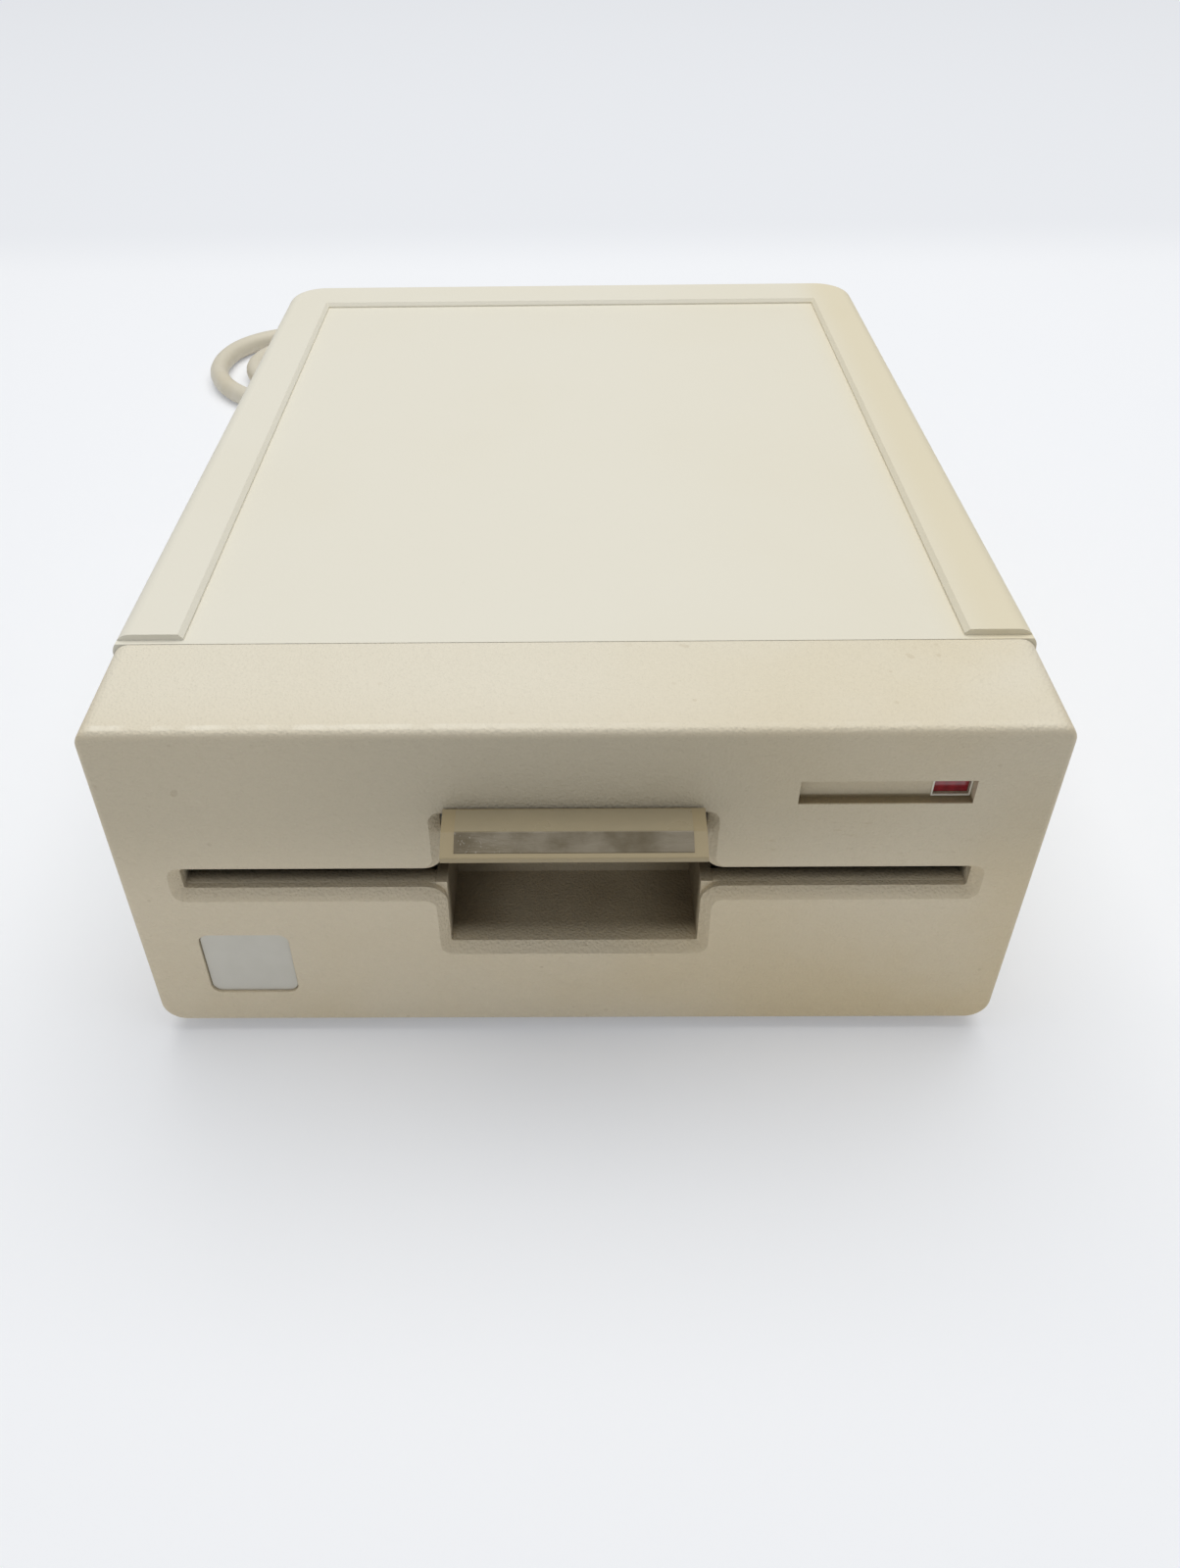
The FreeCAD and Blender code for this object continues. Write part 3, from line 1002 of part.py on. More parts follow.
def spindle_bearings():
    """Two ball bearings at the ends of the housing, each as one closed ring."""
    rings = []
    for low in ("BaseZ + HousingLow", "BaseZ + HousingTop - BearingTall"):
        ring_body = rod("race", "z", "BearingRadius", ("0", "SpindleY", low), "BearingTall")
        bore = rod("race_bore", "z", "SpindleRadius + RunGap", ("0", "SpindleY", low), "BearingTall")
        rings.append(cut("bearing", ring_body, bore))
    return node(group("spindle_bearings", *rings), "spindle_bearings")


def motor_rotor():
    """Flat rotor on the shaft's lower end with its ring magnet."""
    low = "MagnetTopZ - MagnetTall - RotorThick"
    disc = rod("rotor_disc", "z", "RotorRadius", ("0", "SpindleY", low), "RotorThick")
    sleeve = rod("rotor_sleeve", "z", "SleeveRadius", ("0", "SpindleY", low), "RotorThick + MagnetTall / 2")
    outer = rod("magnet_outer", "z", "MagnetOuter", ("0", "SpindleY", low), "RotorThick + MagnetTall")
    inner = rod("magnet_inner", "z", "MagnetInner", ("0", "SpindleY", f"{low} + RotorThick"), "MagnetTall")
    magnet = cut("magnet", outer, inner)
    bore = rod("rotor_bore", "z", "SpindleRadius", ("0", "SpindleY", low), "RotorThick + MagnetTall")
    return node(cut("rotor", join("rotor_solid", disc, sleeve, magnet), bore), "motor_rotor")


def stator_board():
    board = rod("stator_disc", "z", "StatorRadius", ("0", "SpindleY", "StatorZ"), "BoardThick")
    hole = rod("stator_hole", "z", "HousingRadius + GuideGap", ("0", "SpindleY", "StatorZ"), "BoardThick")
    return node(cut("stator", board, hole), "stator_board")


def stator_coils():
    """Ring of flat wound coils under the stator board."""
    coils = []
    for number in range(SIZES["CoilCount"]):
        turn = f"{number} * 360 / CoilCount"
        place = (f"CoilRing * cos({turn})", f"SpindleY + CoilRing * sin({turn})", "StatorZ - CoilTall")
        coils.append(cut("coil", rod("winding", "z", "CoilRadius", place, "CoilTall"),
                         rod("winding_hole", "z", "CoilHole", place, "CoilTall")))
    return node(group("stator_coils", *coils), "stator_coils")


# Stepper, lead screw and head carriage

def stepper_motor():
    """Round stepper can, hollow round its rotor, with a bearing hole in each end."""
    can = rod("can", "y", "StepperRadius", ("0", "MotorY", "RodZ"), "StepperLength")
    room = rod("can_room", "y", "StepperHollow", ("0", "MotorY + StepperSkin", "RodZ"),
               "StepperLength - 2 * StepperSkin")
    hole = rod("can_hole", "y", "ScrewPin + RunGap", ("0", "MotorY", "RodZ"), "StepperLength")
    return node(cut("stepper", can, room, hole), "stepper_motor")


def lead_screw():
    """Screw with its pins and the stepper's rotor on the rear one."""
    start, end = "BlockY + BlockDepth + ScrewEnd", "MotorY - ScrewEnd"
    core = rod("screw_core", "y", "ScrewShaft", ("0", start, "RodZ"), f"{end} - ({start})")
    pin = rod("screw_pin", "y", "ScrewPin", ("0", "BlockY", "RodZ"), "MotorY + StepperLength - BlockY")
    rotor = rod("screw_rotor", "y", "RotorSmall", ("0", "MotorY + RotorInset", "RodZ"),
                "StepperLength - 2 * RotorInset")
    return node(join("screw_body", core, pin, rotor), "lead_screw")


def screw_bush():
    bush = rod("bush", "y", "BushRadius", ("0", "BlockY", "RodZ"), "BlockDepth")
    hole = rod("bush_hole", "y", "ScrewPin + RunGap", ("0", "BlockY", "RodZ"), "BlockDepth")
    return node(cut("screw_bush_ring", bush, hole), "screw_bush")


def guide_rods():
    rods = [rod("guide_rod", "y", "RodRadius", (f"({side}) * RodX", "BlockY", "RodZ"), "MotorY - BlockY")
            for side in SIDES]
    return node(group("guide_rods", *rods), "guide_rods")


def head_carriage():
    """Carriage on two rods, with the screw's channel and the post of the pad arm."""
    front, back = "HeadY - CarriageFront", "HeadY + CarriageBack"
    body_block = block("carriage_block", ("-CarriageHalf", "CarriageHalf"), (front, back),
                       ("BaseZ + CarriageLow", "BaseZ + CarriageTop"))
    post = block("carriage_post", ("-PostHalf", "PostHalf"), ("PadY - PadPost", "PadY + PadPost"),
                 ("BaseZ + CarriageTop", "BaseZ + PostTop"))
    fork = block("carriage_fork", ("-PostHalf + PostWall", "PostHalf - PostWall"),
                 ("PadY - PadPost", "PadY + PadPost"), ("PadZ + PadPlateLow - ForkGap", "BaseZ + PostTop"))
    way = rod("screw_way", "y", "ScrewWay", ("0", front, "RodZ"), f"{back} - ({front})")
    pin_hole = rod("pad_pin_hole", "x", "PinRadius", ("-PostHalf", "PadY", "PadZ"), "2 * PostHalf")
    rods = [rod("rod_way", "y", "RodRadius + RunGap", (f"({side}) * RodX", front, "RodZ"), f"{back} - ({front})")
            for side in SIDES]
    moving = cut("carriage", join("carriage_solid", body_block, post), fork, way, pin_hole, *rods)
    return node(moving, "head_carriage")


def screw_follower():
    """Nut block in the carriage's channel that rides on the screw."""
    y = "HeadY + FollowerY"
    ring_body = rod("follower_ring", "y", "ScrewWay", ("0", f"{y} - FollowerHalf", "RodZ"), "2 * FollowerHalf")
    bore = rod("follower_bore", "y", "ScrewShaft + 2 * RunGap", ("0", f"{y} - FollowerHalf", "RodZ"),
               "2 * FollowerHalf")
    return node(cut("follower", ring_body, bore), "screw_follower")


def read_head():
    low = "BaseZ + CarriageTop"
    return node(rod("head_button", "z", "ButtonRadius", ("0", "HeadY", low), f"HubTopZ - ({low})"), "read_head")


def pad_arm():
    """Pressure arm, modelled closed about its pin and lifted at rest."""
    plate = block("pad_plate", ("-PadHalf", "PadHalf"), ("-PadReach - PadFront", "PadTail"),
                  ("PadPlateLow", "PadPlateLow + PadPlateThick"))
    hub = rod("pad_hub", "x", "PadHubRadius", ("-PadHalf", "0", "0"), "2 * PadHalf")
    neck = block("pad_neck", ("-PadHalf", "PadHalf"), ("-PadHubRadius", "PadHubRadius"), ("PadPlateLow", "0"))
    holder_low = "PadFloor + FeltTall - PadHeight"
    holder = rod("pad_holder", "z", "HolderRadius", ("0", "-PadReach", holder_low), f"PadPlateLow - ({holder_low})")
    bore = rod("pad_bore", "x", "PinRadius + RunGap", ("-PadHalf", "0", "0"), "2 * PadHalf")
    arm = cut("pad", join("pad_solid", plate, hub, neck, holder), bore)
    return node(lift(arm, "PadY", "PadZ", "-PadLift"), "pad_arm")


def pad_pin():
    return node(rod("pin", "x", "PinRadius", ("-PostHalf", "PadY", "PadZ"), "2 * PostHalf"), "pad_pin")


def felt_pad():
    felt = rod("felt", "z", "FeltRadius", ("0", "-PadReach", "PadFloor - PadHeight"), "FeltTall")
    return node(lift(group("felt_disc", felt), "PadY", "PadZ", "-PadLift"), "felt_pad")


# Electronics

def protect_sensor():
    """Light source above the right guide and its receiver below, at the disk's notch."""
    inner, outer = "InnerWallX - SensorHalf", "InnerWallX"
    y = ("FaceY + SensorY - SensorDepth / 2", "FaceY + SensorY + SensorDepth / 2")
    source = block("light_source", (inner, outer), y,
                   ("PathHighZ + GuideLedge", "PathHighZ + GuideLedge + SensorTall"))
    receiver = block("receiver", (inner, outer), y, ("DeckZ", "PathLowZ - GuideLedge"))
    return node(group("protect_sensor", source, receiver), "protect_sensor")


def logic_board():
    board = block("board", ("-BoardHalf", "BoardHalf"), ("FaceY + BoardFront", "RearY - BoardBack"),
                  ("BoardZ", "BoardZ + BoardThick"))
    holes = [rod("board_hole", "z", "ScrewRadius", (f"({side}) * (BoardHalf - TabSide)", y, "BoardZ"), "BoardThick")
             for side in SIDES for y in ("FaceY + TabFront", "RearY - TabBack")]
    return node(cut("board_drilled", board, *holes), "logic_board")


def board_chips():
    """Rows of chips, each with its body and the two leg rows that stand on the board."""
    chips = []
    for column in range(SIZES["ChipColumns"]):
        for row in range(SIZES["ChipRows"]):
            x = f"({column} - (ChipColumns - 1) / 2) * ChipPitchX"
            y = f"FaceY + ChipFirstY + {row} * ChipPitchY"
            top = "BoardZ + BoardThick"
            case = block("chip", (f"{x} - ChipWidth / 2", f"{x} + ChipWidth / 2"), (y, f"{y} + ChipLong"),
                         (f"{top} + ChipLift", f"{top} + ChipLift + ChipTall"))
            legs = block("legs", (f"{x} - ChipWidth / 2 - ChipLift", f"{x} + ChipWidth / 2 + ChipLift"),
                         (f"{y} + ChipLift", f"{y} + ChipLong - ChipLift"), (top, f"{top} + ChipTall / 2"))
            chips.append(join("chip_body", case, legs))
    return node(group("board_chips", *chips), "board_chips")


def board_capacitors():
    cans = [rod("capacitor", "z", "CanRadius", (f"({number} - (CanCount - 1) / 2) * CanPitch",
            "FaceY + BoardFront + 2 * CanRadius", "BoardZ + BoardThick"), "CanTall")
            for number in range(SIZES["CanCount"])]
    return node(group("board_capacitors", *cans), "board_capacitors")


def board_headers():
    """Two cable headers at the rear of the board."""
    top = "BoardZ + BoardThick"
    headers = []
    for side in SIDES:
        x = f"({side}) * BoardHalf / 2"
        shell = block("header_shell", (f"{x} - HeaderWidth / 2", f"{x} + HeaderWidth / 2"),
                      ("FaceY + HeaderY", "FaceY + HeaderY + HeaderDepth"), (top, f"{top} + HeaderTall"))
        room = block("header_room", (f"{x} - HeaderWidth / 2 + BoardThick", f"{x} + HeaderWidth / 2 - BoardThick"),
                     ("FaceY + HeaderY + BoardThick", "FaceY + HeaderY + HeaderDepth - BoardThick"),
                     (f"{top} + BoardThick", f"{top} + HeaderTall"))
        headers.append(cut("header", shell, room))
    return node(group("board_headers", *headers), "board_headers")


def board_screws():
    screws = [screw("z", (f"({side}) * (BoardHalf - TabSide)", y, "BoardZ + BoardThick + HeadHeight"),
                    "BoardScrew", True)
              for side in SIDES for y in ("FaceY + TabFront", "RearY - TabBack")]
    return node(group("board_screws", *screws), "board_screws")


# Cord: a lead from the boot to the coil, the coil, and a tail from the coil to the plug.
# Points are measured from the front face (y) and the table (z) and chosen by hand.

LEAD = [(-45, 204, 17), (-45, 248, 17), (-46.5, 281, 4.3), (-49.1, 309, 3.7)]
TAIL = [(-44.5, 361, 10.5), (-42.2, 371, 8.2), (-32, 384, 5.2), (-16, 390.5, 3.9),
        (0.8, 388, 3.7), (15, 378.5, 4.2), (31, 373, 7), (43, 373, 7)]
BEND_SHARE = 0.45


def route(points):
    """Route points in the drive's frame."""
    return [Vector(x, y + size("FaceY"), z) for x, y, z in points]


def rounded_path(points):
    """Straight runs joined by tangent arcs, each as large as its two runs allow."""
    edges, start = [], points[0]
    for before, corner, after in zip(points, points[1:], points[2:]):
        into = (corner - before).normalize()
        out = (after - corner).normalize()
        turn = into.getAngle(out)
        trim = BEND_SHARE * min((corner - before).Length, (after - corner).Length)
        radius = trim / math.tan(turn / 2)
        print(f"cord bend radius {radius:.1f} mm")
        first, last = corner - into * trim, corner + out * trim
        inward = (out - into).normalize()
        middle = corner + inward * (math.hypot(radius, trim) - radius)
        edges.append(Part.LineSegment(start, first).toShape())
        edges.append(Part.Arc(first, middle, last).toShape())
        start = last
    edges.append(Part.LineSegment(start, points[-1]).toShape())
    return Part.Wire(edges)


def cord_tube(label, points):
    """Round cord along a route."""
    path = rounded_path(points)
    ahead = points[1] - points[0]
    section = Part.Wire(Part.makeCircle(size("CordRadius"), points[0], ahead))
    tube = DOC.addObject("Part::Feature", label)
    tube.Shape = path.makePipeShell([section], True, False)
    volume = math.pi * size("CordRadius") ** 2 * path.Length
    print(f"{label}: length {path.Length:.0f} mm, volume {tube.Shape.Volume / volume:.4f} of section x length")
    return node(tube, label)


def cord_coil():
    """Outer shape of two loose turns on the table, with a stub for each end of the cord."""
    radius = size("CordRadius")
    outer = size("CoilCentre") + radius + size("GuideGap")
    inner = size("CoilCentre") - size("TurnPitch") - radius - size("GuideGap")
    centre = Vector(size("CoilX"), size("CoilY + FaceY"), 0)
    tall = size("LoopTall")
    hoop = Part.makeCylinder(outer, tall, centre).cut(Part.makeCylinder(inner, tall, centre))
    hoop = hoop.makeFillet(radius, [edge for edge in hoop.Edges if isinstance(edge.Curve, Part.Circle)])
    stubs = []
    for point, toward in ((route(LEAD)[-1], route(LEAD)[-2]), (route(TAIL)[0], route(TAIL)[1])):
        stubs.append(Part.makeCylinder(radius, size("StubLong"), point, (point - toward).normalize()))
    coil = DOC.addObject("Part::Feature", "cord_coil")
    coil.Shape = hoop.fuse(stubs).removeSplitter()
    return node(coil, "cord_coil")


# Plug: drawn round its own middle with its face towards -Y, then turned and laid beside the coil

def laid(plug_piece):
    """Turn a piece of the plug about Z by a tied angle and lay it in its place."""
    plug_piece.Placement = Placement(Vector(), Rotation(UNIT["z"], 1))
    plug_piece.setExpression("Placement.Rotation.Angle", tied("PlugTurn"))
    return put(plug_piece, "PlugX", "PlugMiddleY", "0")


def plug_hood():
    """Moulded hood with a bay at each side for its thumbscrew."""
    hood = new_body("plug_hood")
    half = "HoodWidth / 2"
    plan = oblong((f"-{half}", half), ("PlugFace", "PlugFace + HoodLong"))
    pad(hood, drawn(hood, "XY", "0", [plan]), "HoodTall")
    dressed(hood, "Fillet", "HoodRound", lambda b, e: along(b, "z"))
    dressed(hood, "Fillet", "HoodRound / 3", lambda b, e: near(b.ZMin, "HoodTall"))
    front, back = "PlugFace + KnobRadius", "PlugFace + KnobRadius + BayLong"
    bays = [oblong((low, high), (front, back)) for low, high in
            ((f"-{half}", f"-{half} + BayWidth"), (f"{half} - BayWidth", half))]
    pocket(hood, drawn(hood, "XY", "0", bays), "HoodTall")
    holes = [(f"({side}) * JackSpan / 2", "PlugZ", "ThreadRadius + RunGap") for side in SIDES]
    pocket(hood, drawn(hood, "XZ", "PlugFace", rings=holes), "KnobRadius")
    return node(laid(hood), "plug_hood")


def plug_shell():
    """Flange and shell of the plug, sized to slide over a socket's shell, with its pins."""
    shell = new_body("plug_shell")
    front = "PlugFace - FlangeThick"
    flange = oblong(("-ConnectorWidth / 2", "ConnectorWidth / 2"),
                    ("PlugZ - ConnectorTall / 2", "PlugZ + ConnectorTall / 2"))
    pad(shell, drawn(shell, "XZ", front, [flange]), "FlangeThick")
    mouth = f"{front} - PlugShellOut"
    outer = drawn(shell, "XZ", mouth, [dee("0", "PlugZ", "ShellFit + ShellWall")])
    pad(shell, outer, "PlugShellOut")
    dressed(shell, "Fillet", "ShellRound + ShellWall",
            lambda b, e: along(b, "y") and near(b.YLength, "PlugShellOut"))
    pocket(shell, drawn(shell, "XZ", mouth, [dee("0", "PlugZ", "ShellFit")]), "PlugShellOut")
    pins = drawn(shell, "XZ", f"{mouth} + ShellWall", rings=contacts("0", "PlugZ", "PinThick"))
    pad(shell, pins, "PlugShellOut - ShellWall")
    holes = [(f"({side}) * JackSpan / 2", "PlugZ", "ThreadRadius + RunGap") for side in SIDES]
    pocket(shell, drawn(shell, "XZ", front, rings=holes), "FlangeThick")
    return node(laid(shell), "plug_shell")


def plug_screw(word, side):
    """Thumbscrew: knob in the hood's bay, a neck through the flange and a thread beyond it."""
    x = f"({side}) * JackSpan / 2"
    knob = rod("knob", "y", "KnobRadius", (x, "PlugFace + KnobRadius + GuideGap", "PlugZ"), "KnobLong")
    neck = rod("neck", "y", "NeckRadius", (x, "PlugFace - FlangeThick - ThreadGap", "PlugZ"),
               "ThreadGap + FlangeThick + KnobRadius + 2 * GuideGap")
    thread = rod("thread", "y", "ThreadRadius", (x, "PlugFace - FlangeThick - ThreadGap - ThreadOut", "PlugZ"),
                 "ThreadOut")
    return node(laid(join("thumbscrew", knob, neck, thread)), f"plug_screw_{word}")


def check_and_write():
    """Refuse a failed feature or an invalid piece, then write one file for each piece."""
    DOC.recompute()
    for thing in DOC.Objects:
        if {"Invalid", "Error"} & set(thing.State):
            raise RuntimeError(f"{thing.Name} ({thing.Label}) failed: {thing.State}")
    for piece in NODES:
        if piece.Shape.isNull() or not piece.Shape.isValid():
            raise RuntimeError(f"{piece.Label} has no valid shape")
    for piece in NODES:
        piece.Shape.exportStep(f"parts/{piece.Label}.step")
    print(f"{len(NODES)} pieces written")


def main():
    os.makedirs("parts", exist_ok=True)
    fill_sheet()
    for make in (front_bezel, badge_plate, indicator_lens, indicator_lamp, top_cover, bottom_case,
                 rubber_feet, case_screws, bezel_screws, chassis_screws, rear_panel, chain_socket,
                 socket_posts, strain_relief, chassis, front_lever, lever_label, lever_shaft,
                 lever_cam, latch_disc, lever_bracket, bracket_screws, lever_latch, lever_spring,
                 clamp_arm, arm_pins, clamp_cone, clamp_ring, cone_retainer, spindle_shaft, spindle_hub,
                 spindle_bearings, motor_rotor, stator_board, stator_coils, stepper_motor,
                 lead_screw, screw_bush, guide_rods, head_carriage, screw_follower, read_head,
                 pad_arm, pad_pin, felt_pad, protect_sensor, logic_board, board_chips,
                 board_capacitors, board_headers, board_screws, cord_coil, plug_hood, plug_shell):
        make()
    for word, side in (("left", "-1"), ("right", "1")):
        disk_guide(word, side)
        plug_screw(word, side)
    cord_tube("cord_lead", route(LEAD))
    cord_tube("cord_tail", route(TAIL))
    check_and_write()


main()
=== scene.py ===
"""Finishes, cord, small fittings and studio for a diskette drive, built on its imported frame."""

import json
import math

import bpy
from mathutils import Matrix, Vector


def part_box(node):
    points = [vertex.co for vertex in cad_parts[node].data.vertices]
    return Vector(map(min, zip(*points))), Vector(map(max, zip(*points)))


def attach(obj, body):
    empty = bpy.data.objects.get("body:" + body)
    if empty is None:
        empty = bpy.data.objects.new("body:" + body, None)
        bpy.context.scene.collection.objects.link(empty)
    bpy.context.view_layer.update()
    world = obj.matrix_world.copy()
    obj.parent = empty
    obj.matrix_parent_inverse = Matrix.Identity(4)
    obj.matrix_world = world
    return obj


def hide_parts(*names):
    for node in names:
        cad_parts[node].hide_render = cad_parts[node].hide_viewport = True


bl_info = {
    "name": "Desktop Diskette Drive",
    "version": (1, 0, 0),
    "blender": (4, 5, 0),
    "location": "View3D > Sidebar > Diskette Drive",
    "description": "Finishes a diskette drive with a lever, a lamp window and a coiled cord",
    "category": "Object",
}

MM = 0.001

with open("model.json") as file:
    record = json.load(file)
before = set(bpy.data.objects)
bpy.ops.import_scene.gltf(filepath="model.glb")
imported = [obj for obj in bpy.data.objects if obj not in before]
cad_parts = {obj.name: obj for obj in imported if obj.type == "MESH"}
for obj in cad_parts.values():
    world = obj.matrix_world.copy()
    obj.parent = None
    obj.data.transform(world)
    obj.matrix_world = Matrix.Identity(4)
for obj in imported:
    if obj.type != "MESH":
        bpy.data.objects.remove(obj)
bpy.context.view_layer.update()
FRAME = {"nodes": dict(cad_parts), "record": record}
NODES = FRAME["nodes"]
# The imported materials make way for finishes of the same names.
for plain in bpy.data.materials:
    plain.name = "packed_" + plain.name


def tone(red, green, blue):
    """Scene-linear colour of a paint chip given as 0-255 display values, by the sRGB curve."""
    def linear(value):
        share = value / 255
        return share / 12.92 if share <= 0.04045 else ((share + 0.055) / 1.055) ** 2.4
    return tuple(linear(value) for value in (red, green, blue))


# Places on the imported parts, in metres. The typed heights and half widths follow the cuts of the
# bezel; WELL_SIDE is the outside of the finger well's wall.

BEZEL_LOW, BEZEL_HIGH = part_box("front_bezel")
LENS_LOW, LENS_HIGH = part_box("indicator_lens")
FACE_Y = BEZEL_LOW.y
TOP_Z = BEZEL_HIGH.z
FILM_FOLD_Y = FACE_Y - 0.0055
SILL_Z = 0.0586
SLOT_LOW, SLOT_HIGH, SLOT_SIDE, WELL_SIDE = 0.0379, 0.0425, 0.0695, 0.0247


# Shader sums: a wrapped socket that adds its own Math nodes.

class Signal:
    """A number that changes over a surface."""

    def __init__(self, finish, socket):
        self.finish = finish
        self.socket = socket

    def sum(self, operation, *values):
        return self.finish.add("Math", {"operation": operation}, dict(enumerate(values)))

    def __add__(self, other):
        return self.sum("ADD", self, other)

    def __sub__(self, other):
        return self.sum("SUBTRACT", self, other)

    def __rsub__(self, other):
        return self.sum("SUBTRACT", other, self)

    def __mul__(self, other):
        return self.sum("MULTIPLY", self, other)

    def __abs__(self):
        return self.sum("ABSOLUTE", self)

    __radd__ = __add__
    __rmul__ = __mul__

    def clipped(self):
        """Kept between 0 and 1."""
        return self.finish.add("Clamp", {}, {"Value": self})

    def step(self, low, high):
        """0 below low, 1 above high, smooth between them; with low above high the other way."""
        return self.finish.add("MapRange", {"interpolation_type": "SMOOTHSTEP"},
                               {"Value": self, "From Min": low, "From Max": high})

    def band(self, low, high, blur):
        """1 between low and high, fading out over blur on each side."""
        return self.step(low - blur, low) * self.step(high + blur, high)


class Finish:
    """One surface finish and the nodes that make it."""

    def __init__(self, name):
        self.material = bpy.data.materials.new(name)
        self.material.use_nodes = True
        self.tree = self.material.node_tree
        self.shader = self.tree.nodes["Principled BSDF"]
        self.place = self.add("TexCoord", {}, {}, "Object")

    def add(self, kind, settings, inputs, output=0):
        """Add a node, set it up, feed its sockets and wrap one of its outputs."""
        node = self.tree.nodes.new("ShaderNode" + kind)
        for name, value in settings.items():
            setattr(node, name, value)
        for name, value in inputs.items():
            self.feed(node.inputs[name], value)
        return Signal(self, node.outputs[output])

    def feed(self, socket, value):
        """Link a signal to a socket or write a value into it; a colour may lack its alpha."""
        if isinstance(value, Signal):
            self.tree.links.new(value.socket, socket)
        elif (hasattr(socket.default_value, "__len__")
              and len(socket.default_value) == len(value) + 1):
            socket.default_value = (*value, 1)
        else:
            socket.default_value = value

    def set(self, **values):
        """Feed the shader's own sockets; underscores stand for spaces."""
        for name, value in values.items():
            self.feed(self.shader.inputs[name.replace("_", " ")], value)
        return self

    def axis(self, name):
        return self.add("SeparateXYZ", {}, {"Vector": self.place}, "XYZ".index(name))

    def stretched(self, x, y, z):
        """Place with each axis multiplied, so that a pattern runs long or short."""
        return self.add("VectorMath", {"operation": "MULTIPLY"}, {0: self.place, 1: (x, y, z)})

    def noise(self, grain, detail=2, roughness=0.5, place=None):
        """Soft random pattern whose patches measure about one grain, in millimetres."""
        return self.add("TexNoise", {}, {"Vector": place or self.place, "Scale": 1 / (grain * MM),
                                         "Detail": detail, "Roughness": roughness})

    def cells(self, grain):
        """Pebbled pattern of rounded cells that measure about one grain, in millimetres."""
        return self.add("TexVoronoi", {"feature": "SMOOTH_F1"},
                        {"Vector": self.place, "Scale": 1 / (grain * MM), "Smoothness": 0.6})

    def blend(self, share, first, second):
        """Colour between two colours."""
        return self.add("Mix", {"data_type": "RGBA"}, {0: share, 6: first, 7: second}, 2)

    def darken(self, share, colour, shade):
        """Colour multiplied towards a shade where share is 1."""
        return self.add("Mix", {"data_type": "RGBA", "blend_type": "MULTIPLY"},
                        {0: share, 6: colour, 7: shade}, 2)

    def bump(self, height, depth):
        """Surface relief, its depth in millimetres."""
        return self.add("Bump", {}, {"Height": height, "Distance": depth * MM, "Strength": 1})


# Sizes and colours a user may change

def length(name, description, millimetres):
    return bpy.props.FloatProperty(name=name, description=description, default=millimetres * MM,
                                   unit="LENGTH", subtype="DISTANCE")


def colour(name, description, chip):
    return bpy.props.FloatVectorProperty(name=name, description=description, default=tone(*chip),
                                         subtype="COLOR", min=0, max=1)


class DriveColours(bpy.types.PropertyGroup):
    """Colours of the drive's finishes."""

    bezel: colour("Bezel", "Moulded front with the slot", (226, 218, 199))
    cover: colour("Cover", "Top cover and bottom case", (228, 223, 208))
    lever: colour("Lever", "Flip lever in front of the slot", (166, 150, 117))
    film: colour("Film", "Clear film on the lever", (163, 150, 122))
    badge: colour("Badge", "Bare plate in the front's pocket", (208, 203, 190))
    lens: colour("Lens", "Lamp lens", (146, 26, 38))
    cord: colour("Cord", "Cord, boot and plug hood", (216, 208, 189))
    floor: colour("Floor", "Table", (246, 247, 250))
    backdrop: colour("Backdrop", "Far end of the table", (234, 236, 240))


class DriveSizes(bpy.types.PropertyGroup):
    """Sizes of the fittings that are modelled here."""

    cord: length("Cord", "Diameter of the cord", 7.2)
    rib: length("Boot rib", "Depth of a rib of the cord's boot", 0.7)
    recess: length("Screw recess", "Span of the cross in a screw head", 2.7)
    knurl: length("Knurl", "Depth of the grooves in a thumbscrew", 0.3)


def colours():
    return bpy.context.scene.drive_colours


def sizes():
    return bpy.context.scene.drive_sizes


# Shades that a colour is multiplied towards: shares of red, green and blue

DRIFT_SHADE = (0.975, 0.965, 0.935)
AGED_SHADE = (0.93, 0.87, 0.73)
FACE_SHADE = (0.93, 0.865, 0.77)
# painted shade over the upper face
UPPER_FACE_PAINTED_SHADE = (0.73, 0.74, 0.74)
SILL_DARKENING = (0.5, 0.45, 0.36)
SCUFF_SHADE = (0.78, 0.72, 0.62)
# dirt and painted shade in the well and the slot
WELL_DIRT_AND_SHADE = (0.32, 0.29, 0.245)
# painted shade in the slot's mouth
MOUTH_PAINTED_SHADE = (0.42, 0.4, 0.36)
SPECK_SHADE = (0.6, 0.52, 0.42)
COVER_SHADE = (0.97, 0.94, 0.86)
RIGHT_RIM_SHADE = (0.965, 0.925, 0.83)
DUST_SHADE = (0.7, 0.66, 0.58)
BADGE_SHADE = (0.92, 0.92, 0.9)
TARNISH_SHADE = (0.82, 0.79, 0.72)
GRIME_SHADE = (0.86, 0.81, 0.7)
CLOUD_SHADE = (0.97, 0.98, 0.99)

# Where tones change, in metres: a start and an end along an axis or, for sides and corners, away
# from the middle. A blur is how far a band fades out past its ends.

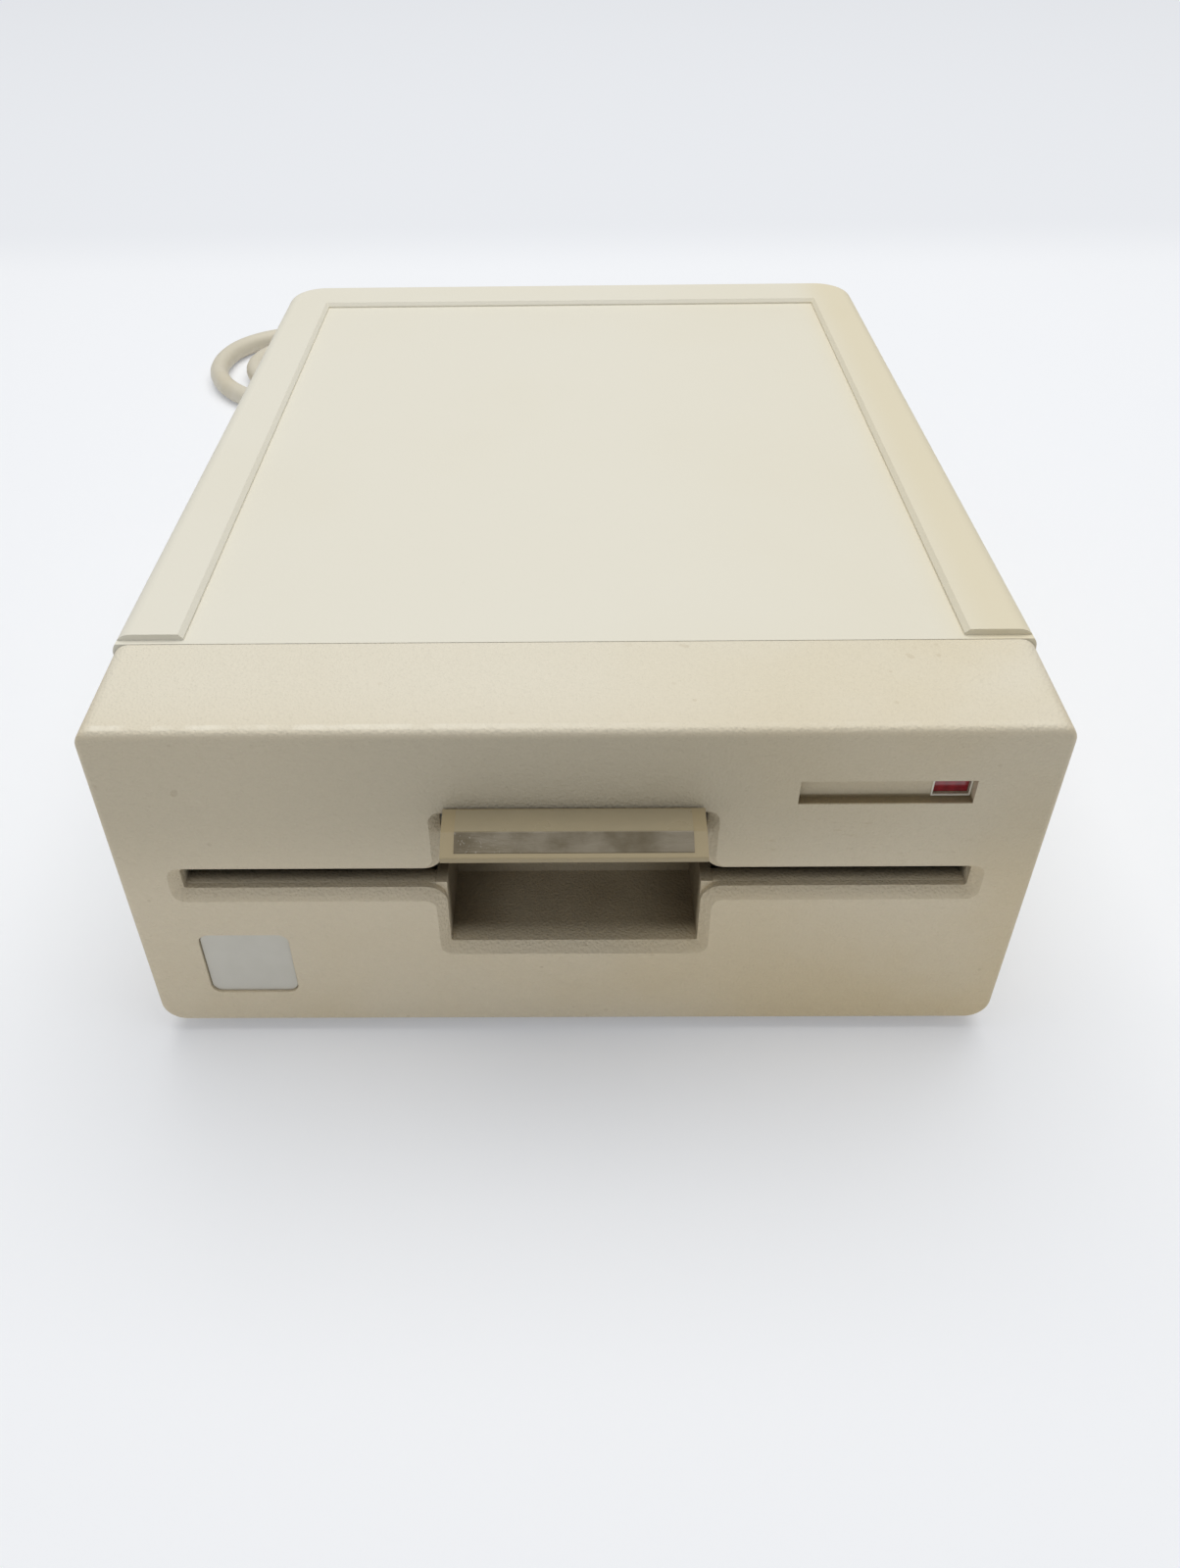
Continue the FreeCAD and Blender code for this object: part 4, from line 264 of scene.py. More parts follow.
AGED_X, AGED_Z = (-0.02, 0.085), (0.045, 0.0)
FACE_Z = TOP_Z - 0.0003, TOP_Z - 0.002
UPPER_FACE_Z = 0.034, 0.058
UPPER_FACE_TOP_Z = TOP_Z - 0.0006, TOP_Z - 0.0028
UPPER_FACE_SIDES = 0.0799, 0.0787
OVER_LEVER_SIDES = 0.062, 0.012
EDGE_Y, EDGE_BLUR = (FACE_Y + 0.0009, FACE_Y + 0.0017), 0.0004
EDGE_Z = TOP_Z - 0.0013, TOP_Z - 0.0006
EDGE_X = 0.02, -0.05
SILL_X, SILL_BLUR = (0.0365, 0.0665), 0.0002
SILL_Y = FACE_Y + 0.0001, FACE_Y + 0.0004
SILL_TOP_Z, SILL_FOOT_Z = (SILL_Z + 0.0009, SILL_Z + 0.0003), (SILL_Z - 0.0004, SILL_Z - 0.0001)
SCUFF_X, SCUFF_Z, SCUFF_BLUR = (0.034, 0.072), (0.044, 0.055), 0.004
SCUFF_Y = FACE_Y + 0.002, FACE_Y
DIRT_AND_SHADE_Y = FACE_Y + 0.0024, FACE_Y + 0.007
DIRT_AND_SHADE_Z, DIRT_AND_SHADE_SIDES, DIRT_AND_SHADE_CORNERS = (0.047, 0.041), (0.074, 0.072), (0.008, 0.0226)
MOUTH_Z = 0.022, 0.034
COVER_X, RIGHT_RIM_X = (0.0, 0.09), (0.062, 0.074)
FILM_LOWER_Y = FILM_FOLD_Y + 0.0002, FILM_FOLD_Y - 0.0002
FILM_LEFT_X = -0.006, -0.018
LENS_RIB_DEPTH = 0.002
TABLE_FAR_Y = 0.36, 0.45


# Finishes

def moulded(name, chip, grain, relief, gloss):
    """Moulded plastic: a fine pebbled skin, slow drifts of shade and a few dull marks."""
    finish = Finish(name)
    drift = finish.noise(70, 3)
    marks = finish.noise(9, 4, 0.65).step(0.6, 0.72)
    skin = finish.cells(grain) + 0.5 * finish.noise(grain * 0.6, 1)
    shade = finish.darken(drift.step(0.4, 0.75) * 0.5, chip, DRIFT_SHADE)
    finish.set(Base_Color=shade, Roughness=gloss + 0.08 * drift - 0.05 * marks,
               Normal=finish.bump(skin, relief), Specular_IOR_Level=0.35)
    finish.shade, finish.drift, finish.marks = shade, drift, marks
    return finish


def yellowing(finish, shade):
    """Warm ageing that gathers at the right end and low on the front."""
    side, low = finish.axis("X").step(*AGED_X), finish.axis("Z").step(*AGED_Z)
    patch = (0.55 * side + 0.5 * low) * finish.noise(38, 3).step(0.3, 0.7)
    return finish.darken(patch.clipped(), shade, AGED_SHADE)


def bezel_plastic():
    """Front moulding: two tones of face, painted shade on the upper face, a rubbed top edge with a
    painted highlight, scuffs, a darkened window sill, and dirt and painted shade in its recesses.
    """
    finish = moulded("bezel_plastic", colours().bezel, 0.55, 0.14, 0.5)
    x, y, z = (finish.axis(name) for name in "XYZ")
    from_middle = abs(x)
    # The face is warmer than the top strip.
    shade = finish.darken(z.step(*FACE_Z), finish.shade, FACE_SHADE)
    # Painted shade: the upper face is darker than the lower face, most of all over the lever.
    painted_upper_shade = z.step(*UPPER_FACE_Z) * z.step(*UPPER_FACE_TOP_Z) * from_middle.step(*UPPER_FACE_SIDES)
    share = painted_upper_shade * (0.62 + 0.38 * from_middle.step(*OVER_LEVER_SIDES))
    shade = yellowing(finish, finish.darken(share, shade, UPPER_FACE_PAINTED_SHADE))
    # Rubbed line along the front's top edge, broken up by noise; its pale colour is partly wear and
    # partly a painted highlight.
    edge = y.band(*EDGE_Y, EDGE_BLUR) * z.step(*EDGE_Z)
    rubbed_and_highlight = edge * finish.noise(5, 4, 0.7).step(0.36, 0.62) * (0.2 + 0.8 * x.step(*EDGE_X))
    shade = finish.blend(rubbed_and_highlight * 0.6, shade, tone(246, 240, 224))
    # A darkened sill in the lamp window, and scuffs under it.
    sill = x.band(*SILL_X, SILL_BLUR) * z.step(*SILL_TOP_Z)
    sill = sill * z.step(*SILL_FOOT_Z) * y.step(*SILL_Y)
    shade = finish.darken(sill, shade, SILL_DARKENING)
    box = x.band(*SCUFF_X, SCUFF_BLUR) * z.band(*SCUFF_Z, SCUFF_BLUR) * y.step(*SCUFF_Y)
    scuff = box * finish.noise(1.6, 5, 0.75, finish.stretched(0.35, 1, 1)).step(0.6, 0.7)
    shade = finish.darken(scuff * 0.4, shade, SCUFF_SHADE)
    # Dirt and painted shade in the well and the slot, deepest where the well's walls meet.
    inside = y.step(*DIRT_AND_SHADE_Y) * z.step(*DIRT_AND_SHADE_Z) * from_middle.step(*DIRT_AND_SHADE_SIDES)
    corners = from_middle.step(*DIRT_AND_SHADE_CORNERS)
    dirt_and_shade = inside * (0.58 + 0.35 * corners + 0.12 * finish.noise(9, 4).step(0.3, 0.75)).clipped()
    shade = finish.darken(dirt_and_shade, shade, WELL_DIRT_AND_SHADE)
    # Painted shade, stronger higher up towards the slot's mouth.
    shade = finish.darken(inside * z.step(*MOUTH_Z) * 0.55, shade, MOUTH_PAINTED_SHADE)
    # A few specks.
    specks = finish.cells(5).step(0.1, 0.07) * finish.noise(30).step(0.5, 0.6)
    shade = finish.darken(specks * 0.22, shade, SPECK_SHADE)
    gloss = 0.5 + 0.1 * finish.drift - 0.08 * finish.marks - 0.12 * rubbed_and_highlight + 0.12 * dirt_and_shade
    return finish.set(Base_Color=shade, Roughness=gloss)


def cover_plastic():
    """Cover and bottom case: a little dusty, and warmer to the right, most on the right rim."""
    finish = moulded("cover_plastic", colours().cover, 0.5, 0.014, 0.52)
    x = finish.axis("X")
    shade = finish.darken(x.step(*COVER_X) * 0.4, finish.shade, COVER_SHADE)
    shade = finish.darken(x.step(*RIGHT_RIM_X), shade, RIGHT_RIM_SHADE)
    dust = finish.noise(0.9, 3, 0.7).step(0.7, 0.76) * finish.noise(40).step(0.45, 0.6)
    return finish.set(Base_Color=finish.darken(dust * 0.25, shade, DUST_SHADE))


def lever_plastic():
    finish = moulded("lever_plastic", colours().lever, 0.45, 0.008, 0.42)
    rub = finish.noise(2.2, 5, 0.7, finish.stretched(0.2, 1, 1)).step(0.56, 0.7)
    shade = finish.blend(rub * 0.16, finish.shade, tone(176, 166, 146))
    return finish.set(Base_Color=shade, Roughness=0.38 + 0.14 * finish.drift + 0.1 * rub)


def clear_film():
    """Aged clear film: milky patches, a darker, duller lower half, and fine creases and flakes with
    painted glints towards its left end.
    """
    finish = Finish("clear_film")
    x, y = finish.axis("X"), finish.axis("Y")
    milk = finish.noise(7, 4, 0.6).step(0.35, 0.7)
    crease = finish.noise(2.6, 4, 0.6, finish.stretched(0.4, 1, 1.6))
    lower = y.step(*FILM_LOWER_Y)
    left = lower * x.step(*FILM_LEFT_X)
    shade = finish.blend(milk * 0.3, colours().film, tone(146, 134, 106))
    shade = finish.blend(lower * (0.72 + 0.2 * milk), shade, tone(90, 78, 54))
    # Flakes of peeling film at the lower left, with painted glints on them.
    glints = finish.noise(0.8, 3, 0.6, finish.stretched(1.6, 1, 0.6))
    flakes_and_glints = left * glints.step(0.6, 0.72)
    shade = finish.blend(flakes_and_glints * 0.55, shade, tone(176, 170, 156))
    relief = finish.bump(crease * (0.12 + 0.2 * lower + 0.5 * left), 0.4)
    return finish.set(Base_Color=shade, Roughness=0.26 + 0.2 * milk + 0.15 * lower,
                      Normal=relief, Coat_Weight=0.3 - 0.2 * milk - 0.1 * lower)


def badge_grey():
    """Bare plate, lightly brushed along its length."""
    finish = Finish("badge_grey")
    brushed = finish.noise(0.35, 2, 0.5, finish.stretched(0.04, 1, 1))
    dull = finish.noise(5, 3).step(0.35, 0.7) * 0.4
    return finish.set(Base_Color=finish.darken(dull, colours().badge, BADGE_SHADE), Metallic=0.15,
                      Roughness=0.3 + 0.12 * brushed, Normal=finish.bump(brushed, 0.004))


def red_lens():
    """Tinted clear plastic, ribbed behind its face so that it glows dull red."""
    finish = Finish("red_lens")
    depth = finish.axis("Y").step(LENS_LOW.y, LENS_LOW.y + LENS_RIB_DEPTH)
    ribs = finish.add("TexWave", {"bands_direction": "X", "wave_profile": "SIN"},
                      {"Vector": finish.place, "Scale": 160})
    shade = finish.blend(0.35 * ribs + 0.3 * depth, colours().lens, tone(84, 8, 18))
    return finish.set(Base_Color=shade, Roughness=0.14 + 0.06 * finish.noise(1.5),
                      Coat_Weight=0.8, Coat_Roughness=0.06,
                      Normal=finish.bump(finish.noise(2.5), 0.03))


def foot_rubber():
    finish = Finish("foot_rubber")
    dust = finish.noise(3, 4, 0.7).step(0.5, 0.7)
    shade = finish.blend(dust * 0.3, tone(46, 45, 44), tone(110, 105, 96))
    return finish.set(Base_Color=shade, Roughness=0.7 + 0.15 * dust,
                      Normal=finish.bump(finish.noise(0.8, 3), 0.05))


def steel(name, chip, gloss, streak, grain):
    """Bright metal with fine tool marks that run one way, and a little tarnish."""
    finish = Finish(name)
    lines = finish.noise(grain, 3, 0.6, finish.stretched(*streak))
    tarnish = finish.noise(14, 4, 0.6).step(0.45, 0.75)
    shade = finish.darken(tarnish * 0.4, tone(*chip), TARNISH_SHADE)
    return finish.set(Base_Color=shade, Metallic=1, Roughness=gloss + 0.16 * lines + 0.12 * tarnish,
                      Normal=finish.bump(lines, 0.006))


def zinc_steel():
    return steel("zinc_steel", (196, 194, 186), 0.26, (1, 1, 0.2), 1.1)


def ground_steel():
    return steel("ground_steel", (208, 208, 206), 0.14, (1, 0.05, 1), 0.3)


def cast_alloy():
    finish = steel("cast_alloy", (178, 178, 174), 0.48, (1, 1, 1), 0.9)
    return finish.set(Normal=finish.bump(finish.cells(1.3) + finish.noise(0.6), 0.06))


def dark_plastic():
    finish = moulded("dark_plastic", tone(62, 61, 60), 0.5, 0.02, 0.48)
    dust = finish.noise(6, 4, 0.7).step(0.52, 0.75)
    return finish.set(Base_Color=finish.blend(dust * 0.25, finish.shade, tone(120, 114, 104)))


def bronze():
    finish = steel("bronze", (190, 152, 98), 0.34, (1, 1, 1), 0.4)
    return finish.set(Normal=finish.bump(finish.cells(0.35), 0.02))


def copper_wire():
    """Enamelled windings: fine turns piled on each other."""
    finish = Finish("copper_wire")
    turns = finish.add("TexWave", {"bands_direction": "Z"},
                       {"Vector": finish.place, "Scale": 700, "Distortion": 0.8, "Detail": 1})
    shade = finish.blend(turns * 0.7, tone(104, 46, 22), tone(200, 112, 62))
    return finish.set(Base_Color=shade, Metallic=0.85, Roughness=0.3 + 0.15 * turns,
                      Coat_Weight=0.6, Normal=finish.bump(turns, 0.1))


def circuit_board():
    """Green mask over copper lines that turn at right angles, with bright pads."""
    finish = Finish("circuit_board")
    lanes = finish.add("TexBrick", {"offset": 0.37, "squash": 2.3, "squash_frequency": 3},
                       {"Vector": finish.place, "Scale": 60, "Color1": (0, 0, 0),
                        "Color2": (0, 0, 0), "Mortar": (1, 1, 1), "Mortar Size": 0.028,
                        "Mortar Smooth": 0.2, "Bias": 0})
    copper = lanes * finish.noise(16, 0).step(0.47, 0.5)
    return finish.set(Base_Color=finish.blend(copper, tone(24, 86, 48), tone(62, 132, 80)),
                      Roughness=0.34, Coat_Weight=0.3, Normal=finish.bump(copper, 0.05))


def ferrite():
    """Grey magnetic ceramic, ground smooth."""
    finish = Finish("ferrite")
    grey = finish.noise(2, 4).step(0.3, 0.7)
    return finish.set(Base_Color=finish.blend(grey, tone(160, 160, 154), tone(118, 117, 112)),
                      Roughness=0.12 + 0.1 * finish.noise(3),
                      Normal=finish.bump(finish.noise(0.3), 0.003))


def felt():
    finish = Finish("felt")
    fibres = finish.noise(0.35, 4, 0.75)
    shade = finish.blend(fibres, tone(190, 186, 174), tone(226, 222, 212))
    return finish.set(Base_Color=shade, Roughness=0.92, Normal=finish.bump(fibres, 0.25),
                      Sheen_Weight=0.4)


def cord_vinyl():
    finish = moulded("cord_vinyl", colours().cord, 0.9, 0.01, 0.44)
    grime = finish.noise(22, 4, 0.6).step(0.5, 0.72)
    return finish.set(Base_Color=finish.darken(grime * 0.4, finish.shade, GRIME_SHADE),
                      Roughness=0.42 + 0.12 * grime)


FINISHES = {make.__name__: make for make in (
    bezel_plastic, cover_plastic, lever_plastic, clear_film, badge_grey, red_lens, foot_rubber,
    zinc_steel, ground_steel, cast_alloy, dark_plastic, bronze, copper_wire, circuit_board,
    ferrite, felt, cord_vinyl)}


def finish_of(slot):
    """The finish of one of the record's slots, made on first use."""
    return bpy.data.materials.get(slot) or FINISHES[slot]().material


# Modelling steps

def only(piece):
    """Make one object the selected and active one."""
    bpy.ops.object.select_all(action="DESELECT")
    piece.select_set(True)
    bpy.context.view_layer.objects.active = piece


def made(name):
    """Name the object that an operator has just added."""
    piece = bpy.context.view_layer.objects.active
    piece.name = piece.data.name = name
    return piece


def edit(piece, kind="FACE"):
    """Open a piece for editing with nothing selected."""
    only(piece)
    bpy.ops.object.mode_set(mode="EDIT")
    bpy.ops.mesh.select_mode(type=kind)
    bpy.ops.mesh.select_all(action="DESELECT")


def done():
    """Close the piece that is open for editing."""
    bpy.ops.object.mode_set(mode="OBJECT")


def pick(piece, test):
    """Open a piece for editing with the faces selected that pass a test."""
    if piece.mode == "EDIT":
        done()
    edit(piece)
    done()
    for face in piece.data.polygons:
        face.select = bool(test(face))
    bpy.ops.object.mode_set(mode="EDIT")


def settle(piece):
    """Put a piece's place, turn and scale into its mesh."""
    only(piece)
    bpy.ops.object.transform_apply(location=True, rotation=True, scale=True)
    return piece


def smooth(piece, degrees=35):
    """Shade a piece smooth, save where its faces meet at more than an angle."""
    only(piece)
    bpy.ops.object.shade_smooth_by_angle(angle=math.radians(degrees))
    return piece


def apply_modifier(piece, kind, **settings):
    """Add a modifier to a piece, set it up and apply it."""
    only(piece)
    bpy.ops.object.modifier_add(type=kind)
    modifier = piece.modifiers[-1]
    for name, value in settings.items():
        setattr(modifier, name, value)
    bpy.ops.object.modifier_apply(modifier=modifier.name)
    return piece


def finished(piece, body, slot, *replaced):
    """Give a piece its finish, its body and the nodes that it stands for."""
    piece.data.materials.clear()
    piece.data.materials.append(finish_of(slot))
    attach(piece, body)
    if replaced:
        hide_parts(*replaced)
    return piece


def box_piece(name, low, high):
    """Closed box between two corners, in millimetres."""
    bpy.ops.object.select_all(action="DESELECT")
    middle = [(a + b) / 2 * MM for a, b in zip(low, high)]
    size = [(b - a) * MM for a, b in zip(low, high)]
    bpy.ops.mesh.primitive_cube_add(size=1, location=middle, scale=size)
    return settle(made(name))


def turned(name, axis, centre, rings, sides=48):
    """Solid of revolution: a disc extruded along an axis and resized ring by ring.

    Each ring is (distance along the axis, radius), in millimetres.
    """
    way = Vector({"x": (1, 0, 0), "y": (0, 1, 0), "z": (0, 0, 1)}[axis])
    start = Vector(centre) * MM + way * rings[0][0] * MM
    bpy.ops.object.select_all(action="DESELECT")
    bpy.ops.mesh.primitive_circle_add(vertices=sides, radius=rings[0][1] * MM, fill_type="NGON",
                                      location=start,
                                      rotation=way.to_track_quat("Z", "Y").to_euler())
    piece = settle(made(name))
    edit(piece)
    bpy.ops.mesh.select_all(action="SELECT")
    for (last, radius), (along, wider) in zip(rings, rings[1:]):
        bpy.ops.mesh.extrude_region_move(
            TRANSFORM_OT_translate={"value": way * (along - last) * MM})
        share = wider / radius
        bpy.ops.transform.resize(value=(share, share, share),
                                 center_override=Vector(centre) * MM + way * along * MM)
    bpy.ops.mesh.select_all(action="SELECT")
    bpy.ops.mesh.normals_make_consistent(inside=False)
    done()
    return smooth(piece)


def joined(name, pieces):
    """One piece from several."""
    bpy.ops.object.select_all(action="DESELECT")
    for piece in pieces:
        piece.select_set(True)
    bpy.context.view_layer.objects.active = pieces[0]
    bpy.ops.object.join()
    return made(name)


def carved(piece, cutter):
    """Piece without the cutter's space; the cutter is used up."""
    apply_modifier(piece, "BOOLEAN", operation="DIFFERENCE", object=cutter, solver="EXACT",
                   use_self=True)
    bpy.data.objects.remove(cutter)
    return piece


def rounded(piece, width, rows=2, corner=30):
    """Bevel a piece's sharp edges, width in millimetres."""
    apply_modifier(piece, "BEVEL", width=width * MM, segments=rows, limit_method="ANGLE",
                   angle_limit=math.radians(corner))
    return smooth(piece)


MERGE_DISTANCE = 0.002  # millimetres


def copied(node, name):
    """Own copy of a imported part's mesh, its doubles merged."""
    piece = bpy.data.objects.new(name, NODES[node].data.copy())
    bpy.context.scene.collection.objects.link(piece)
    edit(piece, "VERT")
    bpy.ops.mesh.select_all(action="SELECT")
    bpy.ops.mesh.remove_doubles(threshold=MERGE_DISTANCE * MM)
    done()
    piece.name = piece.data.name = name
    return piece


def loose_parts(piece):
    """Split a piece into its separate bodies."""
    edit(piece)
    bpy.ops.mesh.select_all(action="SELECT")
    bpy.ops.mesh.separate(type="LOOSE")
    done()
    return list(bpy.context.selected_objects)


# Camera and studio: metres, degrees, watts and paint chips

CAMERA_AT = (-0.0005, -0.24995, 0.1912)
CAMERA_PITCH, CAMERA_YAW, CAMERA_ROLL = 39.35, -0.86, 0.86
CAMERA_LENS, CAMERA_SENSOR, CAMERA_SHIFT = 27.73, 36, (0.02147, -0.01424)
CAMERA_NEAR, CAMERA_FAR = 0.01, 50
SKY_CHIP, SKY_STRENGTH = (226, 232, 240), 0.42
TABLE_SPAN, TABLE_GLOW, FAR_GLOW = 8, 0.25, 0.6
LAMPS = (
    # name, power, width, depth, place, aim, chip
    ("ceiling_lamp", 15, 1.5, 1.3, (0.05, 0.30, 1.30), (0, 0.02, 0), (255, 253, 248)),
    ("front_fill", 2.4, 1.2, 0.8, (-0.3, -1.4, 0.75), (0, 0, 0.04), (244, 248, 255)),
)


def turn(angle, axis):
    return Matrix.Rotation(math.radians(angle), 4, axis)


def make_camera():
    lens = bpy.data.cameras.new("camera")
    lens.lens, lens.sensor_width = CAMERA_LENS, CAMERA_SENSOR
    lens.shift_x, lens.shift_y = CAMERA_SHIFT
    lens.clip_start, lens.clip_end = CAMERA_NEAR, CAMERA_FAR
    camera = bpy.data.objects.new("camera", lens)
    bpy.context.scene.collection.objects.link(camera)
    camera.matrix_world = (Matrix.Translation(CAMERA_AT) @ turn(-CAMERA_YAW, "Z")
                           @ turn(90 - CAMERA_PITCH, "X") @ turn(-CAMERA_ROLL, "Z"))
    bpy.context.scene.camera = camera


def make_lamp(name, power, width, depth, at, aim, chip):
    lamp = bpy.data.lights.new(name, "AREA")
    lamp.shape, lamp.size, lamp.size_y, lamp.energy = "RECTANGLE", width, depth, power
    lamp.color = tone(*chip)
    holder = bpy.data.objects.new(name, lamp)
    bpy.context.scene.collection.objects.link(holder)
    holder.location = at
    holder.rotation_euler = (Vector(aim) - Vector(at)).to_track_quat("-Z", "Y").to_euler()


def make_world():
    world = bpy.data.worlds.new("studio")
    bpy.context.scene.world = world
    world.use_nodes = True
    sky = world.node_tree.nodes["Background"]
    sky.inputs["Color"].default_value = (*tone(*SKY_CHIP), 1)
    sky.inputs["Strength"].default_value = SKY_STRENGTH


def table_finish():
    """Pale table, a little greyer at its far end, that the camera sees brighter than it is lit."""
    finish = Finish("table")
    far = finish.axis("Y").step(*TABLE_FAR_Y)
    cloud = finish.noise(240, 2).step(0.3, 0.7)
    shade = finish.blend(far, colours().floor, colours().backdrop)
    finish.set(Base_Color=finish.darken(cloud * 0.3, shade, CLOUD_SHADE), Roughness=0.75,
               Specular_IOR_Level=0.2)
    seen = sum(finish.add("LightPath", {}, {}, f"Is {kind} Ray")
               for kind in ("Camera", "Glossy", "Transmission"))
    glow = finish.add("Emission", {}, {"Color": shade, "Strength": 1})
    mixed = finish.add("MixShader", {}, {0: seen.clipped() * (TABLE_GLOW + FAR_GLOW * far),
                                         1: Signal(finish, finish.shader.outputs[0]), 2: glow})
    surface = finish.tree.nodes["Material Output"].inputs["Surface"]
    finish.tree.links.new(mixed.socket, surface)
    return finish


class DRIVE_OT_stage(bpy.types.Operator):
    """Set the camera, the lamps, the sky and the table"""
    bl_idname = "drive.stage"
    bl_label = "Studio"

    def execute(self, context):
        make_camera()
        make_world()
        for lamp in LAMPS:
            make_lamp(*lamp)
        bpy.ops.object.select_all(action="DESELECT")
        bpy.ops.mesh.primitive_plane_add(size=TABLE_SPAN)
        table = made("table")
        table.data.materials.append(table_finish().material)
        context.scene.view_settings.view_transform = "Standard"
        return {"FINISHED"}


# Cord: route points in millimetres, measured from the front face and the table.

CORD_ROUTE = (
    # lead, from the boot to the table
    (-45, 204, 17), (-45, 248, 17), (-46.5, 281, 4.3), (-49.1, 309, 3.7),
    # first turn of the coil
    (-48.4, 336, 3.7), (-52, 353, 3.7), (-63, 366.5, 3.7), (-78, 372, 3.7),
    (-94, 372.8, 3.7), (-110, 371.8, 3.7), (-124, 368.8, 3.7), (-134.4, 362, 3.7),
    (-141, 352.3, 3.7), (-143.5, 340.5, 3.7), (-142.6, 328, 3.7), (-136.5, 314.5, 3.7),
    (-126.5, 303.5, 3.7), (-112, 295, 3.7), (-93.5, 291.8, 3.7), (-75, 299, 3.7),
    (-61.5, 314, 3.7),
    # second turn, inside the first and then over it; its left end is the cord's tightest bend
    (-56.6, 330, 3.7), (-59, 344.5, 3.7), (-67.3, 355.3, 3.7), (-79.5, 361.5, 3.7),
    (-93.5, 363, 3.7), (-107, 361, 3.7), (-118.8, 355.5, 3.7), (-127, 346, 3.7),
    (-129.2, 334, 3.7), (-124.8, 322, 3.7), (-114, 311, 4.4), (-97, 303.3, 8.4),
    (-76, 301.5, 11.8), (-57.5, 313.3, 11.9), (-48.8, 334.5, 11.8),
    # tail, down to the table and into the plug
    (-46.3, 354, 10.8), (-41, 370.5, 8.2), (-30.5, 383, 5.2), (-15, 389.5, 3.9),
    (0.8, 388, 3.7), (15.5, 379, 4.2), (31, 373, 7), (43, 373, 7),
)


class DRIVE_OT_cord(bpy.types.Operator):
    """Lay the cord from its boot through two loose turns to the plug"""
    bl_idname = "drive.cord"
    bl_label = "Cord"

    def execute(self, context):
        points = [(x * MM, y * MM + FACE_Y, z * MM) for x, y, z in CORD_ROUTE]
        line = bpy.data.curves.new("cord", "CURVE")
        line.dimensions = "3D"
        line.resolution_u = line.render_resolution_u = 10
        line.bevel_depth, line.bevel_resolution = sizes().cord / 2, 6
        line.use_fill_caps = True
        spline = line.splines.new("NURBS")
        spline.points.add(len(points) - 1)
        for point, place in zip(spline.points, points):
            point.co = (*place, 1)
        spline.order_u = 3
        spline.use_endpoint_u = True
        spline.use_smooth = True
        cord = bpy.data.objects.new("cord", line)
        context.scene.collection.objects.link(cord)
        finished(cord, "case", "cord_vinyl", "cord_lead", "cord_coil", "cord_tail")
        return {"FINISHED"}


# Cord boot, in millimetres from its inner end: the radius of its neck in the panel's hole, the
# radius and taper of its sleeve, the number, start and pitch of the ribs, and the rings of its tip

BOOT_NECK, SLEEVE_RADIUS, SLEEVE_TAPER = 5.6, 6.1, 0.25
BOOT_RIBS, BOOT_RIBS_START, BOOT_RIB_PITCH = 6, 10.6, 3
BOOT_TIP = (30, 4.75), (30.2, 4.2)


class DRIVE_OT_boot(bpy.types.Operator):
    """Turn the ribbed boot that guards the cord where it leaves the rear panel"""
    bl_idname = "drive.boot"
    bl_label = "Cord boot"

    def execute(self, context):
        low, high = (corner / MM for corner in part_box("strain_relief"))
        rib = sizes().rib / MM
        wide = (high.x - low.x) / 2
        rings = [
            # flange inside the panel
            (0, wide - 0.5), (0.5, wide), (2, wide), (2.5, wide - 0.5),
            # neck
            (2.5, BOOT_NECK), (6.2, BOOT_NECK),
            # flange outside the panel
            (6.2, wide - 0.4), (6.6, wide), (8.1, wide), (8.7, wide - 0.6),
            # root of the sleeve
            (8.7, 6.2), (BOOT_RIBS_START, SLEEVE_RADIUS),
        ]
        for step in range(BOOT_RIBS):
            start = BOOT_RIBS_START + BOOT_RIB_PITCH * step
            core = SLEEVE_RADIUS - SLEEVE_TAPER * step
            rings += [(start + 0.3, core + rib), (start + 1.3, core + rib), (start + 1.6, core),
                      (start + BOOT_RIB_PITCH, core - SLEEVE_TAPER)]
        rings += BOOT_TIP
        middle = ((low.x + high.x) / 2, low.y, (low.z + high.z) / 2)
        boot = turned("cord_boot", "y", middle, rings)
        finished(boot, "case", "cord_vinyl", "strain_relief")
        return {"FINISHED"}


# Slot shelves and lens frame, in millimetres. The shelves' front and back lie behind the face, the
# frame's before the lens. The margin is the lens's flange, which the face hides.

SHELF_FRONT, SHELF_BACK, SHELF_WALL, SHELF_EDGE = 3, 6.4, 1.3, 0.25
LENS_MARGIN = 1
LENS_FRAME_FRONT, LENS_FRAME_BACK, LENS_FRAME_RIM, LENS_FRAME_EDGE = 0.75, 0.3, 0.28, 0.08


